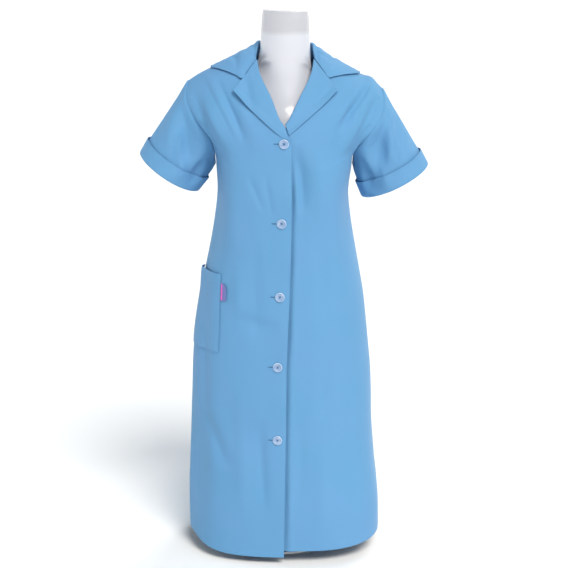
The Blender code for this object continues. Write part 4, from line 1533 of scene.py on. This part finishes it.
@dataclass
class Coat:
    """Every cloth piece of the housecoat, with its sewing."""

    cloth: float = 0.0012
    folded: float = 0.0015
    hem_stitch: float = 0.0190
    edge_stitch: float = 0.0050
    pocket_stitch: float = 0.0020
    mouth_stitch: float = 0.020
    cuff_stitch: float = 0.0030
    one_layer: float = 0.0014
    two_layers: float = 0.0028
    pitch: float = 0.0030
    stitch: Size = (0.0011, 0.00022, 0.00018)

    def plan(self) -> list[ClothPiece]:
        """List the pieces with their cuts and sewing.

        Returns:
            The pieces in the order they are built.
        """
        first, last, near, far = Edge.FIRST_ROW, Edge.LAST_ROW, Edge.FIRST_COLUMN, Edge.LAST_COLUMN
        leftward, rightward, downward = (-1.0, 0.0, 0.0), (1.0, 0.0, 0.0), (0.0, 0.0, -1.0)
        front = {"flat": (0.32, 1.13), "held": "hung", "rests_on": "dress_form", "hem": first,
                 "stitched": ((first, self.hem_stitch), (near, self.edge_stitch)), "settled": (far,)}
        double = {"held": "folded", "outward": 0.00075, "inward": 0.00055}
        lapel = {"flat": (0.10, 0.20), "spacing": 0.0018, "tuck": (last, 0.0014, 0.0004),
                 "stitched": ((far, self.edge_stitch),), **double}
        pieces = [
            TopFront(Wall("front_right", 12, self.cloth, columns_towards=leftward), area=0.285,
                     under=self.one_layer, **front),
            UnderFront(Wall("front_left", 12, self.cloth), area=0.295, **front),
            ClothPiece(Wall("back", 25, self.cloth), (0.60, 1.12), 0.540, "hung", "dress_form",
                       spacing=0.0042, hem=first, stitched=((first, self.hem_stitch),), settled=(near, far)),
            Lapel(Wall("lapel_right", 9, self.folded, columns_towards=leftward), area=0.0090,
                  rests_on="front_right", under=self.two_layers, **lapel),
            Lapel(Wall("lapel_left", 9, self.folded), area=0.0100, rests_on="front_left",
                  under=self.one_layer, **lapel),
            Collar(Wall("collar", 13, self.folded, rows_towards=rightward, columns_towards=downward),
                   flat=(0.48, 0.16), area=0.0560, rests_on="back", under=0.0016, spacing=0.0022,
                   stitched=tuple((edge, self.edge_stitch) for edge in (far, first, last)), **double),
            Pocket(Wall("pocket", 9, self.cloth, columns_towards=leftward), (0.14, 0.20), 0.0240, "hung",
                   "front_right", under=self.two_layers, spacing=0.0026, hem=last, hem_width=0.022,
                   stitched=((near, self.pocket_stitch), (first, self.pocket_stitch),
                             (last, self.mouth_stitch))),
            Tab(Wall("label", 4, 0.0010), (0.013, 0.037), 0.00048, "stretched", "pocket", slot="pink_ribbon",
                under=self.two_layers, spacing=0.0010, near_edges=(0.0, 0.0002, 0.0006), outward=0.0004),
        ]
        for side in ("right", "left"):
            sleeve, cuff = f"sleeve_{side}", f"cuff_{side}"
            pieces.append(ClothPiece(
                Wall(sleeve, 24, self.cloth, closed=True), (0.42, 0.20), 0.060, "hung", cuff,
                tuck=(first, 0.0018, 0.0016), spacing=0.0032, settled=(first,), settles_over=0.030))
            pieces.append(ClothPiece(
                Wall(cuff, 24, self.folded, closed=True), (0.40, 0.04), 0.0150, rests_on=sleeve, under=0.0016,
                spacing=0.0026, stitched=((first, self.cuff_stitch),), **{**double, "inward": 0.00045}))
        return pieces

    def build(self, drape: Drape, sewing: Sewing, poplin: bpy.types.Material,
              ribbon: bpy.types.Material) -> None:
        """Build every piece and its stitches.

        Args:
            drape: The creases.
            sewing: Lays the threads.
            poplin: Material of the coat.
            ribbon: Material of the tab at the pocket.
        """
        for piece in self.plan():
            piece.refine(drape)
            piece.shell(ribbon if isinstance(piece, Tab) else poplin)
            if piece.stitched:
                sewing.lay(f"{piece.wall.node}_stitches", piece.sewing(), self.pitch, self.stitch)


def seen_line(cloth: BVHTree, plan: list[Plan]) -> StitchLine:
    """Places on the coat's front, straight behind places in x and z.

    Args:
        cloth: The outer face of the top front.
        plan: Places in x and z.

    Returns:
        The places on the cloth, with its normals there.
    """
    hits = [cloth.ray_cast(Vector((x, IN_FRONT, z)), BEHIND) for x, z in plan]
    ways = [(hit[1] if hit[1].y < 0 else -hit[1])[:] for hit in hits]
    return StitchLine(np.array([hit[0][:] for hit in hits]), np.array(ways))


@dataclass
class Buttons:
    """Five shell buttons, each sewn on with thread and held in a worked buttonhole."""

    count: int = 5
    radius: float = 0.0102
    thick: float = 0.0032
    rim: float = 0.0016
    rim_rise: float = 0.6
    foot: float = 0.66
    belly: float = 0.45
    dish: float = 0.0010
    holes: int = 4
    hole_radius: float = 0.00115
    hole_ring: float = 0.0021
    segments: int = 48
    slit_length: float = 0.0235
    slit_half: float = 0.0006
    slit_steps: int = 16
    slit_lift: float = 0.00012
    under_button: float = 0.002
    bar: Size = (0.00024, 0.00085, 0.00030)
    bar_pitch: float = 0.00062
    lie: float = 0.0001
    thread_radius: float = 0.00030
    thread_depth: float = 0.0012
    thread_over: float = 0.0002
    thread_arch: float = 0.0016
    slit_end: float = 0.0004
    leaf_tip: float = 0.08
    leaf_wider: float = 1.5
    leaf_front: float = 0.00008
    leaf_back: float = 0.00025

    def profile(self) -> list[Plan]:
        """The outline from the middle of the underside to the middle of the dished top.

        Returns:
            Radius and height of each point.
        """
        foot, rise = self.radius * self.foot, self.rim * self.rim_rise
        made = [(0.0, 0.0), (foot, 0.0)]
        for turn in (math.pi / 2 * step / 6 for step in range(7)):
            made.append((foot + self.radius * (1 - self.foot) * math.sin(turn),
                         self.thick * self.belly * (1 - math.cos(turn))))
        for turn in (math.pi * step / 8 for step in range(9)):
            made.append((self.radius - self.rim * (1 - math.cos(turn)),
                         self.thick - rise + rise * math.sin(turn)))
        inner = self.radius - 2 * self.rim
        for share in (step / 6 for step in range(1, 7)):
            made.append((inner * (1 - share), self.thick - rise - self.dish * math.sin(math.pi / 2 * share)))
        return made

    def disc(self, finish: bpy.types.Material) -> bpy.types.Mesh:
        """One button with its holes cut through, on the origin and facing +Z.

        Args:
            finish: Its material.

        Returns:
            The button's mesh.
        """
        plain = plain_mesh("button_disc", spun(self.profile(), self.segments), finish)
        drills = bmesh.new()
        for number in range(self.holes):
            turn = 2 * math.pi * (number + 0.5) / self.holes
            made = bmesh.ops.create_cone(drills, cap_ends=True, segments=14, radius1=self.hole_radius,
                                         radius2=self.hole_radius, depth=self.thick * 4)
            bmesh.ops.translate(drills, verts=made["verts"],
                                vec=(self.hole_ring * math.cos(turn), self.hole_ring * math.sin(turn), 0.0))
        body = add_object("button_disc", plain)
        cutter = add_object("button_drill", plain_mesh("button_drill", drills))
        cut = body.modifiers.new("holes", "BOOLEAN")
        cut.operation, cut.object, cut.solver = "DIFFERENCE", cutter, "EXACT"
        ready = body.evaluated_get(bpy.context.evaluated_depsgraph_get())
        drilled = bpy.data.meshes.new_from_object(ready)
        for used in (body, cutter):
            bpy.data.objects.remove(used)
        drilled.shade_smooth()
        drilled.set_sharp_from_angle(angle=math.radians(40))
        flat = drilled.uv_layers.new(name=UV_NAME)
        for loop in drilled.loops:
            flat.data[loop.index].uv = drilled.vertices[loop.vertex_index].co.xy
        return drilled

    def seat(self, node: str, cloth: BVHTree) -> Pair:
        """Find where a button lies on the finished cloth under its solid.

        Args:
            node: The button's CAD node.
            cloth: The outer face of the top front.

        Returns:
            The middle of its underside and the way it faces.
        """
        low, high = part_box(node)
        centre = (low + high) / 2
        plan = []
        for number in range(25):
            away = self.radius * 0.9 * (number / 24) ** 0.5
            turn = number * 2.4
            plan.append((centre.x + away * math.cos(turn), centre.z + away * math.sin(turn)))
        touched = seen_line(cloth, plan).points
        _, _, axes = np.linalg.svd(touched - touched.mean(axis=0))
        ahead = axes[2] if axes[2][1] < 0 else -axes[2]
        middle = touched[0] + ahead * ((touched - touched[0]) @ ahead).max()
        return middle + ahead * self.lie, ahead

    def build(self, sewing: Sewing, cloth: BVHTree, pearl: bpy.types.Material,
              thread_painted_dark: bpy.types.Material, slit: bpy.types.Material) -> None:
        """Build the buttons, their threads and their buttonholes.

        Args:
            sewing: Lays the threads.
            cloth: The outer face of the top front.
            pearl: Material of the buttons.
            thread_painted_dark: Material of the thread that holds them, painted dark as a stand-in for the
                shade in the buttons' holes.
            slit: Material of the painted shade inside a buttonhole.
        """
        disc = self.disc(pearl)
        worked, shadows = [], []
        for number in range(1, self.count + 1):
            node = f"button_{number}"
            base, ahead = self.seat(node, cloth)
            turn = Vector(ahead).to_track_quat("Z", "Y").to_matrix().to_4x4()
            turn.translation = Vector(base)
            mesh = disc.copy()
            mesh.transform(turn)
            made = on_body(add_object(f"{node}_shell", mesh), node)
            self.tie(node, turn, thread_painted_dark)
            worked += self.buttonhole(base, cloth, shadows)
            LOG.info("%s: shell button with thread and buttonhole", made.name)
        sewing.lay("buttonhole_stitches", worked, self.bar_pitch, self.bar)
        self.lay_slit_shadows(shadows, slit)

    def tie(self, node: str, turn: Matrix, thread: bpy.types.Material) -> None:
        """Lay two crossed loops of thread through a button's holes, down into the cloth.

        Args:
            node: The button's CAD node.
            turn: The button's place and turn.
            thread: The thread's material.
        """
        rise = self.thick - self.rim * self.rim_rise - self.dish + self.thread_over + self.thread_arch
        mesh = bmesh.new()
        for start in range(2):
            angle = math.pi * (start + 0.5) / 2
            ends = [Vector((self.hole_ring * math.cos(a), self.hole_ring * math.sin(a), 0))
                    for a in (angle, angle + math.pi)]
            path = []
            for share in (step / 12 for step in range(13)):
                arch = math.sin(math.pi * share) ** 0.5
                height = (rise + self.thread_radius * start) * arch - self.thread_depth
                path.append(ends[0].lerp(ends[1], share) + Vector((0, 0, height)))
            sweep_tube(mesh, path, self.thread_radius, 8)
        made = plain_mesh(f"{node}_thread", mesh, thread)
        made.transform(turn)
        on_body(add_object(f"{node}_thread", made))

    def buttonhole(self, base: np.ndarray, cloth: BVHTree, shadows: list[np.ndarray]) -> list[StitchLine]:
        """The worked edge of one level buttonhole, from under the button towards the side.

        Args:
            base: The button's seat.
            cloth: The outer face of the top front.
            shadows: Gets the slit's middle line.

        Returns:
            Lines for the bars of thread above and below the slit, and at its end.
        """
        start, level, beside = base[0] + self.under_button, base[2], self.slit_half + self.bar[1]
        xs = [start - self.slit_length * step / self.slit_steps for step in range(self.slit_steps + 1)]
        above, below, middle = (seen_line(cloth, [(x, level + height) for x in xs])
                                for height in (beside, -beside, 0.0))
        shadows.append(middle.points + middle.facing * self.slit_lift)
        end = start - self.slit_length - self.slit_end
        reach = self.slit_half + 2 * self.bar[1]
        return [above, below, seen_line(cloth, [(end, level + s * reach) for s in np.linspace(-1.0, 1.0, 4)])]

    def lay_slit_shadows(self, shadows: list[np.ndarray], finish: bpy.types.Material) -> None:
        """Lay painted shade in the openings of the buttonholes, as slim dark leaves just above the cloth.

        Args:
            shadows: The slits' middle lines.
            finish: Their material.
        """
        mesh = bmesh.new()
        for line in shadows:
            rows = []
            for step, point in enumerate(line):
                share = self.leaf_tip + (1 - 2 * self.leaf_tip) * step / (len(line) - 1)
                half = self.slit_half * self.leaf_wider * math.sin(math.pi * share) ** 0.5
                section = ((0.0, -half), (-self.leaf_front, 0.0), (0.0, half), (self.leaf_back, 0.0))
                rows.append([mesh.verts.new(point + np.array((0.0, *part))) for part in section])
            for one, two in zip(rows, rows[1:]):
                bridge(mesh, one, two)
            mesh.faces.new(rows[0][::-1])
            mesh.faces.new(rows[-1])
        bmesh.ops.recalc_face_normals(mesh, faces=mesh.faces)
        leaves = plain_mesh("buttonhole_slit_shadows", mesh, finish)
        leaves.shade_flat()
        on_body(add_object("buttonhole_slit_shadows", leaves))


def sweep_tube(mesh: bmesh.types.BMesh, path: list[Vector], radius: float, sides: int) -> None:
    """Add a round tube along a path, closed at both ends.

    Args:
        mesh: Gets the tube.
        path: Its middle line.
        radius: Its radius.
        sides: Number of its sides.
    """
    angles = [2 * math.pi * j / sides for j in range(sides)]
    rings = []
    for i, point in enumerate(path):
        along = (path[min(i + 1, len(path) - 1)] - path[max(i - 1, 0)]).normalized()
        turn = along.to_track_quat("Z", "Y")
        rings.append([mesh.verts.new(point + turn @ Vector((radius * math.cos(a), radius * math.sin(a), 0)))
                      for a in angles])
    for one, two in zip(rings, rings[1:]):
        bridge(mesh, one, two)
    mesh.faces.new(rings[0][::-1])
    mesh.faces.new(rings[-1])


@dataclass
class FormAndStand:
    """The dress form, smooth and glossy, on its pole and round base."""

    sides: int = 28
    fine_sides: int = 96
    spacing: float = 0.005
    easing: int = 8
    root: Plan = (1.02, 1.165)
    root_easing: int = 4
    hollow: float = 0.030
    hollow_from: float = 0.0555
    hollow_to: float = 0.085
    hollow_low: float = 1.085
    hollow_inner: float = 0.006
    hollow_outer: float = 0.008
    hollow_rise: float = 0.035
    crown: float = 0.0015
    cap_rings: Size = (0.96, 0.75, 0.4)
    turned_steps: int = 72
    stand: tuple[tuple[str, tuple[Plan, ...]], ...] = (
        ("stand_flange", ((0.0, 0.0), (1.0, 0.0), (1.0, 0.75), (0.97, 1.0), (0.0, 1.0))),
        ("stand_pole", ((0.0, 0.0), (1.0, 0.0), (1.0, 1.0), (0.0, 1.0))),
        ("stand_base", ((0.0, 0.0), (0.975, 0.0), (0.992, 0.06), (1.0, 0.20), (1.0, 0.55), (0.992, 0.80),
                        (0.97, 0.95), (0.94, 1.0), (0.0, 1.0))),
    )

    def build(self, shell: bpy.types.Material, steel: bpy.types.Material) -> None:
        """Build the form and the stand, whose profiles are shares of each node's box.

        Args:
            shell: The form's gloss.
            steel: The stand's metal.
        """
        self.form(shell)
        for node, profile in self.stand:
            low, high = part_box(node)
            outline = [(high.x * r, low.z + (high.z - low.z) * z) for r, z in profile]
            turned = plain_mesh(f"{node}_turned", spun(outline, self.turned_steps), steel, 35)
            on_body(add_object(f"{node}_turned", turned), node)
            LOG.info("%s_turned: turned steel", node)

    def fine_grid(self) -> np.ndarray:
        """The form's solid as a fine, eased grid of points.

        Returns:
            Points by row and column.
        """
        points, faces = merged_mesh("dress_form")
        ends = np.array((points[:, 2].min(), points[:, 2].max()))
        around = [f for f in faces if np.ptp(points[list(f), 2]) >= MERGE
                  or np.abs(points[f[0], 2] - ends).min() >= MERGE]
        skin = Skin(around, points)
        ring = min(skin.loops(), key=lambda loop: points[np.array(loop), 2].mean())
        first = max(range(len(ring)), key=lambda i: points[ring[i], 0])
        grid = points[np.array(skin.rows(ring[first:] + ring[:first], None, len(points) // self.sides))]
        up = lengths(grid, 0).mean(axis=1)
        wide = wrapped(grid)
        across = lengths(wide, 1).mean(axis=0)
        at_rows = np.linspace(0, up[-1], round(up[-1] / self.spacing))
        at_columns = np.linspace(across[2], across[-3], self.fine_sides, endpoint=False)
        fine = np.einsum("ri,ijk,cj->rck", spline_weights(up, at_rows), wide,
                         spline_weights(across, at_columns))
        for _ in range(self.easing):
            fine[1:-1] = (fine[:-2] + 2 * fine[1:-1] + fine[2:]) / 4
        return fine

    def form(self, finish: bpy.types.Material) -> None:
        """Build the form as a closed skin, hollowed beside its neck, with a rounded top.

        Args:
            finish: Its material.
        """
        mesh = bmesh.new()
        verts = [[mesh.verts.new(p) for p in row] for row in self.fine_grid().tolist()]
        for one, two in zip(verts, verts[1:]):
            bridge(mesh, one, two)
        for v in mesh.verts:
            away = abs(v.co.x)
            beside = smooth(self.hollow_from, self.hollow_from + self.hollow_inner, away) * (
                1 - smooth(self.hollow_to - self.hollow_outer, self.hollow_to + self.hollow_outer, away))
            v.co.z -= self.hollow * beside * smooth(
                self.hollow_low, self.hollow_low + self.hollow_rise, v.co.z)
        root = [v for row in verts for v in row if self.root[0] < v.co.z < self.root[1]]
        for _ in range(self.root_easing):
            bmesh.ops.smooth_vert(mesh, verts=root, factor=0.5, use_axis_x=True, use_axis_y=True,
                                  use_axis_z=True)
        for ring, crown in ((verts[0], 0.0), (verts[-1], self.crown)):
            centre = sum((v.co for v in ring), Vector()) / len(ring)
            last = ring
            for share in self.cap_rings:
                lift = Vector((0, 0, crown * (1 - share)))
                inner = [mesh.verts.new(centre.lerp(v.co, share) + lift) for v in ring]
                bridge(mesh, last, inner)
                last = inner
            mesh.faces.new(last)
        bmesh.ops.recalc_face_normals(mesh, faces=mesh.faces)
        skin = plain_mesh("dress_form_shell", mesh, finish, 50)
        on_body(add_object("dress_form_shell", skin), "dress_form")
        LOG.info("dress_form_shell: %d points", len(skin.vertices))


@dataclass
class Studio:
    """Pale floor and backdrop, soft lights and the camera."""

    camera_at: Size = (0.0, -3.3, 1.413)
    aim: Size = (0.0, 0.0, 0.613)
    lens: float = 94.8
    sensor: float = 36.0
    floor_radius: float = 42.0
    wall_height: float = 11.0
    cove: float = 0.3
    sides: int = 96
    world: float = 0.30
    sky: Colour = (0.72, 0.87, 1.0)
    suns: tuple[tuple[str, Size, float, float, Colour], ...] = (
        ("key", (0.36, -0.85, 1.10), 2.80, 26.0, (1.0, 0.965, 0.90)),
        ("fill", (0.95, -0.50, 0.40), 0.42, 50.0, (1.0, 0.98, 0.96)),
        ("side", (-1.00, 0.20, 0.45), 0.36, 40.0, (0.90, 0.96, 1.0)),
        ("rear", (0.55, 0.85, 0.70), 1.20, 30.0, (1.0, 0.98, 0.96)),
    )

    def stage(self, name: str, profile: list[Plan], finish: bpy.types.Material) -> None:
        """Build a part of the stage, turned round the upright axis.

        Args:
            name: Name of the piece.
            profile: Radius and height from the middle outwards. One point makes a disc.
            finish: Its material.
        """
        mesh = bmesh.new()
        turns = np.linspace(0.0, 2 * math.pi, self.sides, endpoint=False)
        rings = [[mesh.verts.new((radius * math.cos(t), radius * math.sin(t), height)) for t in turns]
                 for radius, height in profile]
        for inner, outer in zip(rings, rings[1:]):
            bridge(mesh, outer, inner)
        if len(rings) == 1:
            mesh.faces.new(rings[0])
        add_object(name, plain_mesh(name, mesh, finish))

    def lights(self) -> None:
        """Light the stage evenly, from a tinted sky and soft suns."""
        world = bpy.data.worlds.new("studio")
        world.use_nodes = True
        sky = world.node_tree.nodes["Background"]
        sky.inputs["Color"].default_value = (*self.sky, 1.0)
        sky.inputs["Strength"].default_value = self.world
        bpy.context.scene.world = world
        for name, towards, power, spread, colour in self.suns:
            data = bpy.data.lights.new(name, "SUN")
            data.energy, data.angle, data.color = power, math.radians(spread), colour
            made = bpy.data.objects.new(name, data)
            made.rotation_euler = Vector(towards).to_track_quat("Z", "Y").to_euler()
            bpy.context.scene.collection.objects.link(made)

    def build(self, finish: bpy.types.Material) -> None:
        """Build the stage, the lights and the camera.

        Args:
            finish: Material of the floor and the backdrop.
        """
        radius, height = self.floor_radius, self.wall_height
        bend = height * self.cove
        cove = [(radius - bend * (1 - math.sin(t)), bend * (1 - math.cos(t)))
                for t in np.linspace(0.0, math.pi / 2, 7)]
        self.stage("floor", [(radius, 0.0)], finish)
        self.stage("backdrop", cove + [(radius, height)], finish)
        self.lights()
        camera = bpy.data.cameras.new("camera")
        camera.lens, camera.sensor_width = self.lens, self.sensor
        eye = bpy.data.objects.new("camera", camera)
        eye.location = self.camera_at
        eye.rotation_euler = (Vector(self.aim) - Vector(self.camera_at)).to_track_quat("-Z", "Y").to_euler()
        scene = bpy.context.scene
        scene.collection.objects.link(eye)
        scene.camera = eye
        scene.view_settings.view_transform = "Standard"


def outer_tree(piece: bpy.types.Object) -> BVHTree:
    """A finished piece as a tree for ray casting."""
    mesh = piece.data
    return BVHTree.FromPolygons([v.co[:] for v in mesh.vertices], [p.vertices[:] for p in mesh.polygons])


def main() -> None:
    """Build the coat, its buttons, the form and the studio."""
    logging.basicConfig(level=logging.INFO, format="%(message)s")
    drape = Drape()
    poplin = Poplin("sky_poplin").make()
    sewing = Sewing(stitch_tree(), Yarn("blue_thread").make())
    Coat().build(drape, sewing, poplin, Ribbon("tab_ribbon").make())
    top = outer_tree(bpy.data.objects["front_right_cloth"])
    # Painted shade: the buttons' thread is far darker than the coat's own thread, standing in for the shadows
    # in the buttons' holes.
    thread_painted_dark = Yarn("button_thread_painted_dark", (0.020, 0.060, 0.160)).make()
    # Painted shade: the buttonhole slits are dark leaves standing in for the shade inside each opening.
    slit = Mottled("slit_shadow", (0.02, 0.07, 0.16), (0.04, 0.12, 0.24), 900.0, 0.9).make()
    Buttons().build(sewing, top, Pearl("button_pearl").make(), thread_painted_dark, slit)
    FormAndStand().build(Shell("form_gloss").make(), Steel("stand_satin").make())
    Studio().build(Mottled("studio_floor", (0.93, 0.93, 0.932), (0.92, 0.92, 0.924), 3.0, 0.85).make())


if __name__ == "__main__":
    main()
